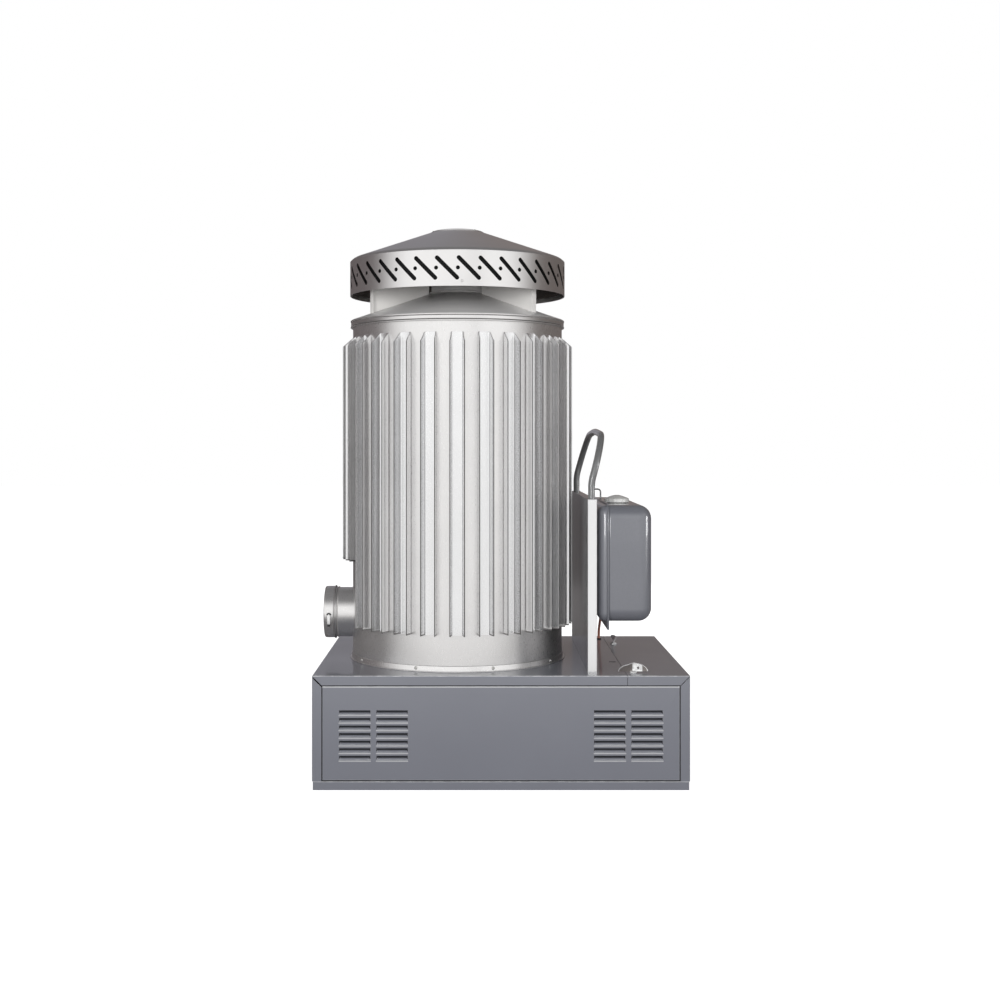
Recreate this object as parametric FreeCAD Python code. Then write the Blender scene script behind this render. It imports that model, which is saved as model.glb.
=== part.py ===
import FreeCAD, Part
import math
import os

from FreeCAD import Vector

os.makedirs("parts", exist_ok=True)

# Frame: origin under the middle of the cabinet, X to the right, Y to the back, Z up.

# base cabinet
base_w = 870.0        # left to right
base_d = 650.0        # front to back
base_h = 263.0        # floor to the top of the top plate
sheet = 2.0           # cabinet sheet
pan_h = 20.0          # floor pan, seen as the plinth strip
lip_w = 16.0          # inward lips of the pan and the sides
frame_w = 22.0        # face flanges round the front panel
mitre_gap = 0.6       # open line at the mitred front corners
panel_gap = 1.6       # open line round the front panel
panel_return = 14.0   # folded edge of the front panel
cover_w = 144.0       # service cover, measured from the right side
seam_gap = 1.0        # open line between top plate and service cover
ledge_under = 7.0     # cover ledge that laps under the top plate
ledge_w = 38.0        # whole width of the cover ledge

# louvres of the front panel
louvre_w = 72.0
louvre_h = 8.7
louvre_deep = 8.0
louvre_lip = 0.8      # rise of each slot toward its back
louvre_taper = 5.0    # how much each end leans in
louvre_rows = 7
louvre_pitch = 17.5
louvre_drop = 79.4    # from the cabinet top to the first slot
louvre_mid = 250.5    # inner column from the middle
louvre_step = 86.0    # column to column

# general fits
touch = 0.3           # open gap between curved neighbours
fit = 0.05            # radial clearance of a running fit
past = 10.0           # how far a cutting shape runs past the wall it cuts

# heater body
axis_y = -17.0        # body axis, from the middle of the cabinet
body_left = 43.85     # fin tips to the left side of the cabinet
body_right = 18.85    # fin tips to the tank panel
casing_t = 2.0
ring_h = 15.0
ring_w = 6.0          # flange of the base ring
air_lap = 20.0        # top plate under the casing wall

# heat fins
fin_count = 26
fin_turn = 0.6        # first fin, degrees right of the front
fin_web = 26.0
fin_leg = 25.0
fin_t = 1.8
fin_flare = 1.0       # each leg leans out by this at its tip
fin_low = 86.0        # above the cabinet top
fin_short = 246.0     # low end of the fins over the flue
fin_bare = 40.0       # bare wall beside the flue
fin_gap = 25.0        # fin tops under the collar

# collar, cone and neck
collar_low = 821.0    # above the cabinet top
collar_h = 18.0
collar_t = 5.7
collar_bead = 1.8     # depth of the collar groove
collar_line = 4.0     # groove above the collar's lower edge
cone_rise = 70.0
cone_t = 2.0
outlet_r = 66.0
neck_t = 2.0
neck_h = 34.0
neck_drop = 14.0      # neck below the cone
neck_rim = 5.0
neck_rim_t = 1.5

# hood
hood_over = 7.0       # hood radius over the casing radius
hood_t = 2.0
skirt_low = 62.0      # above the top of the collar
skirt_h = 84.0
hood_edge = 7.0       # rounded edge of the lid
hood_rise = 72.0
cap_r = 66.0
cap_h = 4.0
cap_lap = 6.0         # cap over the hole in the lid
cap_edge = 2.0
slot_count = 33
slot_w = 7.2
slot_run = 52.0       # around the skirt
slot_fall = 53.0      # down the skirt
slot_top = 22.0       # lid edge to the slot's upper end
slot_turn = -4.5      # first slot, degrees right of the front
bracket_angles = (-62.5, 50.0, 175.0)
bracket_in = 80.0
bracket_back = 31.0   # outer edges behind the skirt
bracket_fold = 16.0

# flue
flue_r = 60.0
flue_t = 2.0
flue_up = 110.0       # axis above the cabinet top
flue_room = 0.5
flue_in = 4.0         # stub inside the chamber wall
clamp_w = 27.0
clamp_t = 2.6
bead_r = 1.8
bead_gap = 6.0        # stop bead to the clamp
block_w = 9.0
block_h = 33.0
block_d = 8.0
block_lap = 6.0
block_round = 1.5

# combustion parts
bar_w = 30.0
bar_t = 6.0
bar_end = 4.0         # bar ends to the casing wall
chamber_r = 170.0
chamber_t = 2.5
chamber_h = 640.0
dome_h = 70.0
dome_r = 80.0         # flat middle of the chamber top
tube_r = 112.0
tube_h = 470.0
tube_cone = 40.0
tube_in = 30.0        # drawn-in mouth
pot_r = 96.0
pot_h = 72.0
pot_t = 3.0
feed_r = 4.0
feed_in = 60.0        # feed pipe from the body axis
feed_z = 28.0         # feed pipe under the cabinet top
feed_bend = 18.0

# fan
duct_r = 165.0
duct_t = 1.5
duct_low = 112.0      # under the cabinet top
duct_rim = 10.0
blade_gap = 9.0
hub_r = 30.0
hub_h = 38.0
hub_gap = 3.0         # hub over the motor
hub_edge = 6.0
blade_root = 4.0      # blade inside the hub
blade_count = 6
blade_w = 62.0
blade_t = 3.0
blade_pitch = 32.0
motor_r = 50.0
motor_h = 74.0
motor_edge = 12.0
shaft_r = 5.0
motor_z = 85.0
bridge_w = 64.0
bridge_span = 180.0
bridge_foot = 26.0

# tank panel and handle
panel_in = 89.0       # left face to the seam of the service cover
panel_t = 21.0
panel_wall = 1.2
panel_front = 30.0    # behind the cabinet front
panel_back = 80.0     # in front of the cabinet back
panel_h = 404.0
panel_recess = 1.2    # inset of the panel's narrow edges
handle_r = 8.0
handle_inset = 25.0   # legs from the panel ends
handle_up = 40.0      # upright part of the legs
handle_lean = 14.0
handle_h = 156.0      # panel top to the bar
handle_bend = 100.0
socket_h = 60.0
socket_d = 40.0
leg_in = 45.0         # leg length inside the sockets

# tank
tank_gap = 4.0        # panel to tank
inner_deep = 24.0
outer_deep = 104.0
tank_front = 50.0     # behind the cabinet front
tank_back = 95.0      # in front of the cabinet back
tank_up = 116.0       # above the cabinet top
tank_h = 273.0
tank_t = 1.6
tank_r = 24.0
rim_w = 5.0           # seam flange
rim_low = 17.0        # seam flange under the tank
rim_t = 2.0
spacer_w = 60.0
spacer_h = 30.0
spacer_in = 70.0
filler_back = 132.0   # from the tank front
filler_in = 33.0      # from the tank seam
filler_r = 24.0
filler_t = 3.0
filler_h = 9.0
filler_low = 6.0      # neck inside the tank
filler_rim = 3.0
filler_rim_t = 1.2
cap_skin = 5.5
cap_rim_h = 12.0
cap_dome = 6.0
cap_lift = 2.0
seal_t = 2.0
seal_in = 1.0
vent_r = 2.2
vent_back = 80.0      # from the tank rear
vent_in = 20.0
vent_h = 23.0
vent_bend = 8.0
vent_reach = 22.0
line_r = 3.0
line_x = 25.0         # fuel line from the tank seam
line_top = 30.0       # outlet from the tank rear
line_low = 35.0       # grommet behind the tank
line_bend = 40.0
outlet_fit_r = 8.0
outlet_fit_h = 20.0
outlet_nut_h = 6.0
outlet_step = 2.0
grommet_r = 7.0
grommet_lip = 2.0
grommet_low = 2.5
grommet_high = 3.0
grommet_edge = 1.0

# fuel regulator, control box, inlet
reg_w = 80.0
reg_d = 74.0
reg_h = 90.0
reg_z = 60.0
reg_boss = 14.0
reg_left = 44.0       # from the fuel line
reg_front = 48.0      # from the fuel line
feed_gap = 30.0       # fuel line to feed pipe
boss_wall = 5.0
boss_edge = 2.0
reg_round = 8.0
box_w = 80.0
box_d = 160.0
box_h = 96.0
box_z = 40.0
box_round = 6.0
inlet_side = 105.0    # from the right side
inlet_z = 95.0
inlet_w = 27.0
inlet_h = 20.0
inlet_d = 30.0
inlet_rim = 12.0
inlet_rim_z = 4.0
inlet_wall = 2.0
inlet_floor = 8.0
prong_w = 2.0
prong_h = 5.0
prong_step = 7.0
prong_low = 6.0       # prong ends behind the rim

# cover screws
screw_in = 17.0       # from the seam
screw_front = 40.0    # behind the cabinet front
screw_back = 150.0    # rear screw, from the cabinet back
screw_r = 4.0
screw_room = 0.25
screw_len = 16.0
knob_r = 8.0
knob_h = 10.0
knob_foot = 2.0
wing_span = 70.0
wing_h = 24.0
wing_t = 3.0
wing_eye = 3.0        # hole in each wing plate
rear_turn = 80.0      # the rear screw's plate, degrees
cup_t = 2.5
cup_h = 8.0

# worked out from the sizes above
top_z = base_h
under_z = base_h - sheet
front_y = -base_d / 2
back_y = base_d / 2
side_x = base_w / 2
seam_x = side_x - cover_w
panel_x = seam_x - panel_in
panel_len = base_d - panel_front - panel_back
fin_reach = touch / 2 + fin_leg
casing_r = (panel_x + side_x - body_left - body_right) / 2 - fin_reach
axis_x = panel_x - body_right - fin_reach - casing_r
face_low = top_z - frame_w
air_r = casing_r - air_lap
collar_z = top_z + collar_low
cone_z = collar_z + collar_h
collar_r = casing_r + touch + collar_t
cone_slope = cone_rise / (collar_r - outlet_r)
hood_r = casing_r + hood_over
skirt_z = cone_z + skirt_low
skirt_top = skirt_z + skirt_h
hood_z = skirt_top + hood_edge
hood_slope = hood_rise / (hood_r - cap_r)
flue_z = top_z + flue_up
panel_y = front_y + panel_front
panel_top = top_z + panel_h
tank_x = panel_x + panel_t + tank_gap
seam_tank = tank_x + inner_deep
tank_y = front_y + tank_front
tank_y1 = back_y - tank_back
tank_len = tank_y1 - tank_y
tank_z = top_z + tank_up
tank_top = tank_z + tank_h
line_gx = seam_tank + line_x
line_ty = tank_y1 - line_top
line_gy = tank_y1 + line_low
inlet_x = side_x - inlet_side


def save(name, shape):
    shape.exportStep("parts/" + name + ".step")


def box(x0, x1, y0, y1, z0, z1):
    return Part.makeBox(x1 - x0, y1 - y0, z1 - z0, Vector(x0, y0, z0))


def upright(r, z0, z1, x, y):
    return Part.makeCylinder(r, z1 - z0, Vector(x, y, z0))


def outline(steps):
    """Closed wire through (a, b) points; a pair of points is an arc's middle and end."""
    first = Vector(steps[0][0], 0, steps[0][1])
    last = first
    edges = []
    for step in list(steps[1:]) + [steps[0]]:
        if isinstance(step[0], tuple):
            mid = Vector(step[0][0], 0, step[0][1])
            end = Vector(step[1][0], 0, step[1][1])
            edges.append(Part.Arc(last, mid, end).toShape())
        else:
            end = Vector(step[0], 0, step[1])
            if last.distanceToPoint(end) > 0.001:
                edges.append(Part.LineSegment(last, end).toShape())
        last = end
    return Part.Wire(edges)


def turned(steps, x, y):
    """Body of revolution about the upright line through x, y, from (radius, z) steps."""
    solid = Part.Face(outline(steps)).revolve(Vector(0, 0, 0), Vector(0, 0, 1), 360)
    solid.translate(Vector(x, y, 0))
    return solid


def drawn(steps, y0, y1):
    """Prism of an X-Z outline from y0 to y1."""
    solid = Part.Face(outline(steps)).extrude(Vector(0, y1 - y0, 0))
    solid.translate(Vector(0, y0, 0))
    return solid


def spin(shape, degrees, x, y):
    copy = shape.copy()
    copy.rotate(Vector(x, y, 0), Vector(0, 0, 1), degrees)
    return copy


def bent_path(points, bend):
    """Straight runs joined by tangent arcs of one radius."""
    edges = []
    last = points[0]
    for before, corner, after in zip(points, points[1:], points[2:]):
        u = (before - corner).normalize()
        v = (after - corner).normalize()
        half = u.getAngle(v) / 2
        reach = bend / math.tan(half)
        start = corner + u * reach
        end = corner + v * reach
        middle = (u + v).normalize()
        mid = corner + middle * (bend / math.sin(half) - bend)
        edges.append(Part.LineSegment(last, start).toShape())
        edges.append(Part.Arc(start, mid, end).toShape())
        last = end
    edges.append(Part.LineSegment(last, points[-1]).toShape())
    return Part.Wire(edges)


def rod(points, bend, r):
    path = bent_path(points, bend)
    ring = Part.Wire(Part.makeCircle(r, points[0], points[1] - points[0]))
    return path.makePipeShell([ring], True, False)


def rounded_box(x0, x1, y0, y1, z0, z1, r, open_x):
    """Box with round edges all over, except round its flat face at open_x."""
    plain = box(x0, x1, y0, y1, z0, z1)
    edges = []
    for edge in plain.Edges:
        if not all(abs(v.X - open_x) < 0.001 for v in edge.Vertexes):
            edges.append(edge)
    return plain.makeFillet(r, edges)


def upright_edges(shape):
    return [e for e in shape.Edges if abs(e.tangentAt(e.FirstParameter).z) > 0.9]


def cone_top(r):
    return cone_z + (collar_r - r) * cone_slope


def dome_mid(r, h, z):
    """Middle of a spherical dome's arc from (r, z) to the axis, h higher."""
    ball = (r * r + h * h) / (2 * h)
    turn = math.asin(r / ball) / 2
    return (ball * math.sin(turn), z + h - ball + ball * math.cos(turn))


def lid_under(r):
    lid_high = hood_z + (hood_r - hood_edge - r) * hood_slope
    return lid_high - hood_t / math.cos(math.atan(hood_slope))


# floor pan with an inward lip
pan = box(-side_x, side_x, front_y, back_y, 0, pan_h)
pan = pan.cut(box(-side_x + sheet, side_x - sheet, front_y + sheet, back_y - sheet,
                  sheet, pan_h - sheet))
pan = pan.cut(box(-side_x + lip_w, side_x - lip_w, front_y + lip_w, back_y - lip_w, sheet, pan_h))
save("base_pan", pan)

# side panels: wall, face flange with its mitre, rear flange, inward lips
wall = box(-side_x, -side_x + sheet, front_y, back_y, pan_h, under_z)
face = drawn([(-side_x, pan_h), (-side_x + frame_w, pan_h), (-side_x + frame_w, face_low - mitre_gap),
              (-side_x + sheet, under_z - mitre_gap), (-side_x, under_z - mitre_gap)],
             front_y, front_y + sheet)
rear = box(-side_x, -side_x + frame_w, back_y - sheet, back_y, pan_h, under_z)
foot = box(-side_x, -side_x + lip_w, front_y + sheet, back_y - sheet, pan_h, pan_h + sheet)
head = box(-side_x, -side_x + lip_w, front_y + sheet, back_y - sheet, under_z - sheet, under_z)
left = wall.fuse([face, rear, foot, head]).removeSplitter()
right = left.mirror(Vector(0, 0, 0), Vector(1, 0, 0))
save("left_side_panel", left)
save("right_side_panel", right)

# rear panel behind the rear flanges, with the window of the power inlet
rear_out = back_y - sheet
rear_panel = box(-side_x + sheet, side_x - sheet, rear_out - sheet, rear_out,
                 pan_h + sheet, under_z - sheet)
rear_panel = rear_panel.cut(box(inlet_x - inlet_w / 2 - touch, inlet_x + inlet_w / 2 + touch,
                                rear_out - sheet, rear_out,
                                inlet_z - inlet_h / 2 - touch, inlet_z + inlet_h / 2 + touch))
save("rear_panel", rear_panel)

# top plate with front and rear flanges, air opening and fuel line hole
plate = box(-side_x, seam_x - seam_gap / 2, front_y, back_y, under_z, top_z)
apron = drawn([(-side_x + sheet, under_z), (-side_x + frame_w, face_low),
               (seam_x - seam_gap / 2, face_low), (seam_x - seam_gap / 2, under_z)],
              front_y, front_y + sheet)
tail = box(-side_x + frame_w + panel_gap, seam_x - seam_gap / 2, back_y - sheet, back_y, face_low, under_z)
plate = plate.fuse([apron, tail])
plate = plate.cut([upright(air_r, under_z, top_z, axis_x, axis_y),
                   upright(grommet_r - grommet_lip + touch, under_z, top_z, line_gx, line_gy)])
save("top_plate", plate.removeSplitter())

# ledge under the seam, and the cups that take the cover screws
screw_x = seam_x + screw_in
screw_ys = (front_y + screw_front, back_y - screw_back)
ledge = box(seam_x - ledge_under, seam_x - ledge_under + ledge_w, front_y + sheet, rear_out - sheet,
            under_z - sheet, under_z)
ledge = ledge.cut([upright(screw_r + screw_room, under_z - sheet, under_z, screw_x, y) for y in screw_ys])
save("cover_ledge", ledge)
cups = []
for y in screw_ys:
    cup_z = under_z - sheet
    inner = screw_r + screw_room
    cups.append(turned([(inner, cup_z), (inner + cup_t * 2, cup_z), (inner + cup_t, cup_z - cup_h),
                        (inner, cup_z - cup_h)], screw_x, y))
save("screw_receptacles", Part.makeCompound(cups))

# service cover on the right
cover = box(seam_x + seam_gap / 2, side_x, front_y, back_y, under_z, top_z)
cover_face = drawn([(seam_x + seam_gap / 2, face_low), (side_x - frame_w, face_low),
                    (side_x - sheet, under_z), (seam_x + seam_gap / 2, under_z)],
                   front_y, front_y + sheet)
cover_tail = box(seam_x + seam_gap / 2, side_x - frame_w - panel_gap, back_y - sheet, back_y,
                 face_low, under_z)
cover = cover.fuse([cover_face, cover_tail])
cover = cover.cut([upright(screw_r + fit, under_z, top_z, screw_x, y) for y in screw_ys])
save("service_cover", cover.removeSplitter())


def cover_screw(y, degrees):
    shank = upright(screw_r, under_z - sheet - screw_len, top_z, screw_x, y)
    knob = turned([(0, top_z), (knob_r + knob_foot, top_z), (knob_r, top_z + knob_h),
                   (0, top_z + knob_h)], screw_x, y)
    half = wing_span / 2
    low = top_z + knob_h / 3
    high = top_z + wing_h
    plate = Part.Face(outline([(-half, low), ((0, high), (half, low))])).extrude(Vector(0, wing_t, 0))
    eye = Part.makeCylinder(wing_eye, wing_t, Vector(half / 3, 0, top_z + knob_h + wing_eye), Vector(0, 1, 0))
    plate = plate.cut(eye)
    plate.translate(Vector(screw_x, y - wing_t / 2, 0))
    return spin(shank.fuse([knob, plate]).removeSplitter(), degrees, screw_x, y)


save("cover_screw_front", cover_screw(screw_ys[0], 0))
save("cover_screw_rear", cover_screw(screw_ys[1], rear_turn))

# front panel: folded tray with pressed louvres
px = side_x - frame_w - panel_gap
pz0 = pan_h + touch
pz1 = face_low - panel_gap
skin_in = front_y + sheet
tray = box(-px, px, front_y, front_y + panel_return, pz0, pz1)
tray = tray.cut(box(-px + sheet, px - sheet, skin_in, front_y + panel_return, pz0 + sheet, pz1 - sheet))
hollows = []
scoops = []
for column in (-louvre_mid - louvre_step, -louvre_mid, louvre_mid, louvre_mid + louvre_step):
    for row in range(louvre_rows):
        z1 = top_z - louvre_drop - row * louvre_pitch
        z0 = z1 - louvre_h
        half = louvre_w / 2
        narrow = half - louvre_taper
        deep = front_y + louvre_deep
        hollows.append(Part.makeWedge(column - half, front_y, z0, z1 - louvre_lip, column - narrow,
                                      column + half, deep, z1, z1, column + narrow))
        scoops.append(Part.makeWedge(column - half - sheet, skin_in, z0 - sheet, z1 - sheet,
                                     column - narrow - sheet, column + half + sheet, deep + sheet,
                                     z1, z1, column + narrow + sheet))
front_panel = tray.fuse(scoops).cut(hollows)
save("front_panel", front_panel.removeSplitter())

# heater body casing and its base ring
casing_top = cone_top(casing_r) - cone_t / math.cos(math.atan(cone_slope)) - touch
casing = upright(casing_r, top_z, casing_top, axis_x, axis_y)
casing = casing.cut(upright(casing_r - casing_t, top_z, casing_top, axis_x, axis_y))
flue_way = Vector(-1, 0, 0)
flue_hole = Part.makeCylinder(flue_r + flue_room, casing_r + past, Vector(axis_x, axis_y, flue_z), flue_way)
save("outer_casing", casing.cut(flue_hole))
ring_in = casing_r + touch
save("base_ring", turned([(ring_in, top_z), (ring_in + ring_w, top_z), (ring_in + ring_w, top_z + sheet),
                          (ring_in + sheet, top_z + sheet), (ring_in + sheet, top_z + ring_h - sheet / 2),
                          (ring_in, top_z + ring_h)],
                         axis_x, axis_y))

# upright U-channel fins, open to the outside, tops cut on a slope
fin_top = collar_z - fin_gap
web_in = casing_r + touch / 2


def fin(z0):
    half = fin_web / 2
    tip = half + fin_flare
    section = [Vector(-half, -web_in, z0), Vector(-tip, -web_in - fin_leg, z0),
               Vector(-tip + fin_t, -web_in - fin_leg, z0), Vector(-half + fin_t, -web_in - fin_t, z0),
               Vector(half - fin_t, -web_in - fin_t, z0), Vector(tip - fin_t, -web_in - fin_leg, z0),
               Vector(tip, -web_in - fin_leg, z0), Vector(half, -web_in, z0)]
    channel = Part.Face(Part.makePolygon(section + section[:1])).extrude(Vector(0, 0, fin_top - z0))
    slope = Part.makePolygon([Vector(-tip, -web_in - fin_leg, fin_top - fin_leg + fin_t),
                              Vector(-tip, -web_in - fin_t, fin_top),
                              Vector(-tip, -web_in - fin_leg, fin_top),
                              Vector(-tip, -web_in - fin_leg, fin_top - fin_leg + fin_t)])
    channel = channel.cut(Part.Face(slope).extrude(Vector(tip * 2, 0, 0)))
    channel.translate(Vector(axis_x, axis_y, 0))
    return channel


flue_half = math.degrees(math.asin((flue_r + clamp_t + fin_bare) / casing_r))
fins = []
for n in range(fin_count):
    angle = fin_turn + n * 360.0 / fin_count
    from_flue = abs((angle - 270.0 + 180.0) % 360.0 - 180.0)
    low = fin_short if from_flue < flue_half else fin_low
    fins.append(spin(fin(top_z + low), angle, axis_x, axis_y))
save("heat_fins", Part.makeCompound(fins))

# collar with its groove, and the lower cone
thick = cone_t / math.cos(math.atan(cone_slope))
line_z = collar_z + collar_line
collar_in = casing_r + touch
flat_r = collar_r - collar_bead
cone = turned([(collar_in, collar_z), (collar_r, collar_z), (collar_r, line_z - collar_bead), (flat_r, line_z),
               (collar_r, line_z + collar_bead), (collar_r, cone_z),
               (outlet_r, cone_top(outlet_r)), (outlet_r, cone_top(outlet_r) - thick),
               (casing_r - casing_t, cone_top(casing_r - casing_t) - thick),
               (collar_in, cone_top(collar_in) - thick)], axis_x, axis_y)
save("lower_cone", cone)

# neck in the cone's outlet, with a rim that sits on the cone
neck_out = outlet_r - touch
rim_z = cone_top(outlet_r) + touch
rim_r = outlet_r + neck_rim
neck_low = rim_z - neck_drop
save("outlet_neck", turned([(neck_out - neck_t, neck_low), (neck_out, neck_low), (neck_out, rim_z),
                            (rim_r, rim_z), (rim_r, rim_z + neck_rim_t), (neck_out, rim_z + neck_rim_t),
                            (neck_out, rim_z + neck_h), (neck_out - neck_t, rim_z + neck_h)],
                           axis_x, axis_y))


# hood brackets: upright plates between cone and lid, outer edge folded
def bracket(degrees):
    r0 = bracket_in
    r1 = hood_r - bracket_back
    plate_in = [(r0, cone_top(r0) + touch), (r1, cone_top(r1) + touch),
                (r1, lid_under(r1) - touch), (r0, lid_under(r0) - touch)]
    web = Part.Face(outline(plate_in)).extrude(Vector(0, sheet, 0))
    r2 = r1 - sheet
    fold = Part.Face(outline([(r2, cone_top(r2) + touch), (r1, cone_top(r1) + touch),
                              (r1, lid_under(r1) - touch), (r2, lid_under(r2) - touch)]))
    fold = fold.extrude(Vector(0, bracket_fold, 0))
    one = web.fuse(fold).removeSplitter()
    one.translate(Vector(axis_x, axis_y - sheet / 2, 0))
    return spin(one, degrees - 90.0, axis_x, axis_y)


save("hood_brackets", Part.makeCompound([bracket(a) for a in bracket_angles]))

# hood skirt with its ring of slanted slots
skirt = upright(hood_r, skirt_z, skirt_top, axis_x, axis_y)
skirt = skirt.cut(upright(hood_r - hood_t, skirt_z, skirt_top, axis_x, axis_y))
slot_z1 = hood_z - slot_top
slot_z0 = slot_z1 - slot_fall
slot_len = math.hypot(slot_run, slot_fall)
slot_cut = hood_t + past
lean = math.degrees(math.atan2(slot_fall, slot_run))
slot = box(-slot_len / 2, slot_len / 2, -slot_cut, slot_cut, -slot_w / 2, slot_w / 2)
slot.rotate(Vector(0, 0, 0), Vector(0, 1, 0), lean)
slot.translate(Vector(axis_x, axis_y - hood_r, (slot_z0 + slot_z1) / 2))
cuts = [spin(slot, slot_turn + n * 360.0 / slot_count, axis_x, axis_y) for n in range(slot_count)]
save("hood_skirt", skirt.cut(cuts))

# hood lid with a rounded edge, and its cap
lid_t = hood_t / math.cos(math.atan(hood_slope))
lid_r = hood_r - hood_edge
lid_top = hood_z + (lid_r - cap_r) * hood_slope
edge_mid = hood_edge * math.sqrt(0.5)
lid_hole = cap_r - cap_lap
lid_hole_z = hood_z + (lid_r - lid_hole) * hood_slope
save("hood_lid", turned([(hood_r - hood_t, skirt_top), (hood_r, skirt_top),
                         (lid_r + edge_mid, skirt_top + edge_mid), (lid_r, hood_z),
                         (lid_hole, lid_hole_z), (lid_hole, lid_hole_z - lid_t),
                         (lid_r - hood_t, hood_z - lid_t + hood_t * hood_slope)], axis_x, axis_y))
cap_z = lid_top + touch
save("hood_cap", turned([(0, lid_hole_z + touch), (lid_hole - touch, lid_hole_z + touch), (cap_r, cap_z),
                         (cap_r, cap_z + cap_edge / 2), (cap_r - cap_edge * 3, cap_z + cap_h),
                         (0, cap_z + cap_h)], axis_x, axis_y))

# flue stub to the left with a stop bead, its clamp band and clamp block
flue_len = side_x + axis_x - chamber_r + chamber_t + flue_in
flue_stop = side_x - clamp_w
bead_at = flue_stop - bead_gap


def lying(steps, x):
    """Body of revolution about the flue axis, from (radius, distance to the left) steps."""
    solid = Part.Face(outline(steps)).revolve(Vector(0, 0, 0), Vector(0, 0, 1), 360)
    solid.rotate(Vector(0, 0, 0), Vector(0, 1, 0), -90)
    solid.translate(Vector(x, axis_y, flue_z))
    return solid


flue_end = side_x - flue_len
save("flue_stub", lying([(flue_r - flue_t, side_x), (flue_r - flue_t, flue_end), (flue_r, flue_end),
                         (flue_r, bead_at - bead_r), (flue_r + bead_r, bead_at), (flue_r, bead_at + bead_r),
                         (flue_r, side_x)], 0))
band_in = flue_r + touch / 2
band_out = band_in + clamp_t
save("flue_clamp", lying([(band_in, side_x), (band_in, flue_stop), (band_out, flue_stop),
                          (band_out + bead_r, flue_stop + bead_r), (band_out, flue_stop + bead_r * 2),
                          (band_out, side_x)], 0))
block_x = -side_x + clamp_w / 2
block_y = axis_y - band_out
block = box(block_x - block_w / 2, block_x + block_w / 2, block_y - block_d, block_y + block_lap,
            flue_z - block_h, flue_z)
block = block.makeFillet(block_round, upright_edges(block))
block = block.cut(Part.makeCylinder(band_out + fit, side_x, Vector(0, axis_y, flue_z), flue_way))
save("clamp_block", block)

# chamber support across the air opening
arm = casing_r - casing_t - bar_end
bars = box(axis_x - arm, axis_x + arm, axis_y - bar_w / 2, axis_y + bar_w / 2, top_z, top_z + bar_t)
bars = bars.fuse(box(axis_x - bar_w / 2, axis_x + bar_w / 2, axis_y - arm, axis_y + arm, top_z, top_z + bar_t))
save("chamber_support", bars.removeSplitter())

# combustion chamber with a domed top, flame tube and burner pot
floor_z = top_z + bar_t
wall_top = floor_z + chamber_h
feed_dir = Vector(line_gx - axis_x, line_gy - axis_y, 0).normalize()
feed_at = Vector(axis_x, axis_y, 0) + feed_dir * feed_in
feed_hole = upright(feed_r + touch, floor_z - bar_t, floor_z + chamber_t * 3 + pot_t, feed_at.x, feed_at.y)
dome_z = wall_top + dome_h
inner_r = chamber_r - chamber_t
chamber = turned([(0, floor_z), (chamber_r, floor_z), (chamber_r, wall_top),
                  (dome_r, dome_z), (0, dome_z), (0, dome_z - chamber_t),
                  (dome_r - chamber_t, dome_z - chamber_t), (inner_r, wall_top),
                  (inner_r, floor_z + chamber_t), (0, floor_z + chamber_t)], axis_x, axis_y)
stub_hole = Part.makeCylinder(flue_r + touch, chamber_r + past, Vector(axis_x, axis_y, flue_z), flue_way)
save("combustion_chamber", chamber.cut([feed_hole, stub_hole]))
seat_z = floor_z + chamber_t
tube_top = seat_z + tube_h
mouth_r = tube_r - tube_in
save("flame_tube", turned([(tube_r - chamber_t, seat_z), (tube_r, seat_z), (tube_r, tube_top - tube_cone),
                           (mouth_r, tube_top), (mouth_r - chamber_t, tube_top),
                           (tube_r - chamber_t, tube_top - tube_cone)], axis_x, axis_y))
pot = turned([(0, seat_z), (pot_r, seat_z), (pot_r, seat_z + pot_h), (pot_r - pot_t, seat_z + pot_h),
              (pot_r - pot_t, seat_z + pot_t), (0, seat_z + pot_t)], axis_x, axis_y)
save("burner_pot", pot.cut(feed_hole))

# air duct under the top plate, with the hole of the feed pipe
duct_z = under_z - duct_low
rim_out = air_r + duct_rim
duct = turned([(air_r, under_z), (rim_out, under_z), (rim_out, under_z - duct_t),
               (air_r + duct_t, under_z - duct_t), (duct_r + duct_t, duct_z), (duct_r, duct_z)],
              axis_x, axis_y)
pipe_z = top_z - feed_z
through = Part.makeCylinder(feed_r + touch, rim_out, Vector(axis_x, axis_y, pipe_z), feed_dir)
save("air_duct", duct.cut(through))

# fan: motor on its bridge, wheel with pitched blades
bridge_top = motor_z
leg = bridge_span / 2
foot_x = leg + bridge_foot
bridge = drawn([(-foot_x, sheet), (-leg, sheet), (-leg, bridge_top - sheet), (leg, bridge_top - sheet),
                (leg, sheet), (foot_x, sheet), (foot_x, sheet * 2), (leg + sheet, sheet * 2),
                (leg + sheet, bridge_top), (-leg - sheet, bridge_top), (-leg - sheet, sheet * 2),
                (-foot_x, sheet * 2)], axis_y - bridge_w / 2, axis_y + bridge_w / 2)
bridge.translate(Vector(axis_x, 0, 0))
save("motor_bracket", bridge)
motor_top = motor_z + motor_h
hub_z = motor_top + hub_gap
hub_top = hub_z + hub_h
shaft_top = hub_top - hub_edge
save("fan_motor", turned([(0, motor_z), (motor_r, motor_z), (motor_r, motor_top - motor_edge),
                          (motor_r - motor_edge, motor_top), (shaft_r, motor_top), (shaft_r, shaft_top),
                          (0, shaft_top)], axis_x, axis_y))
blade_r = duct_r - blade_gap
hub = turned([(shaft_r + fit, hub_z), (hub_r, hub_z), (hub_r, hub_top - hub_edge), (hub_r - hub_edge, hub_top),
              (0, hub_top), (0, shaft_top + touch), (shaft_r + fit, shaft_top + touch)], axis_x, axis_y)
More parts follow.
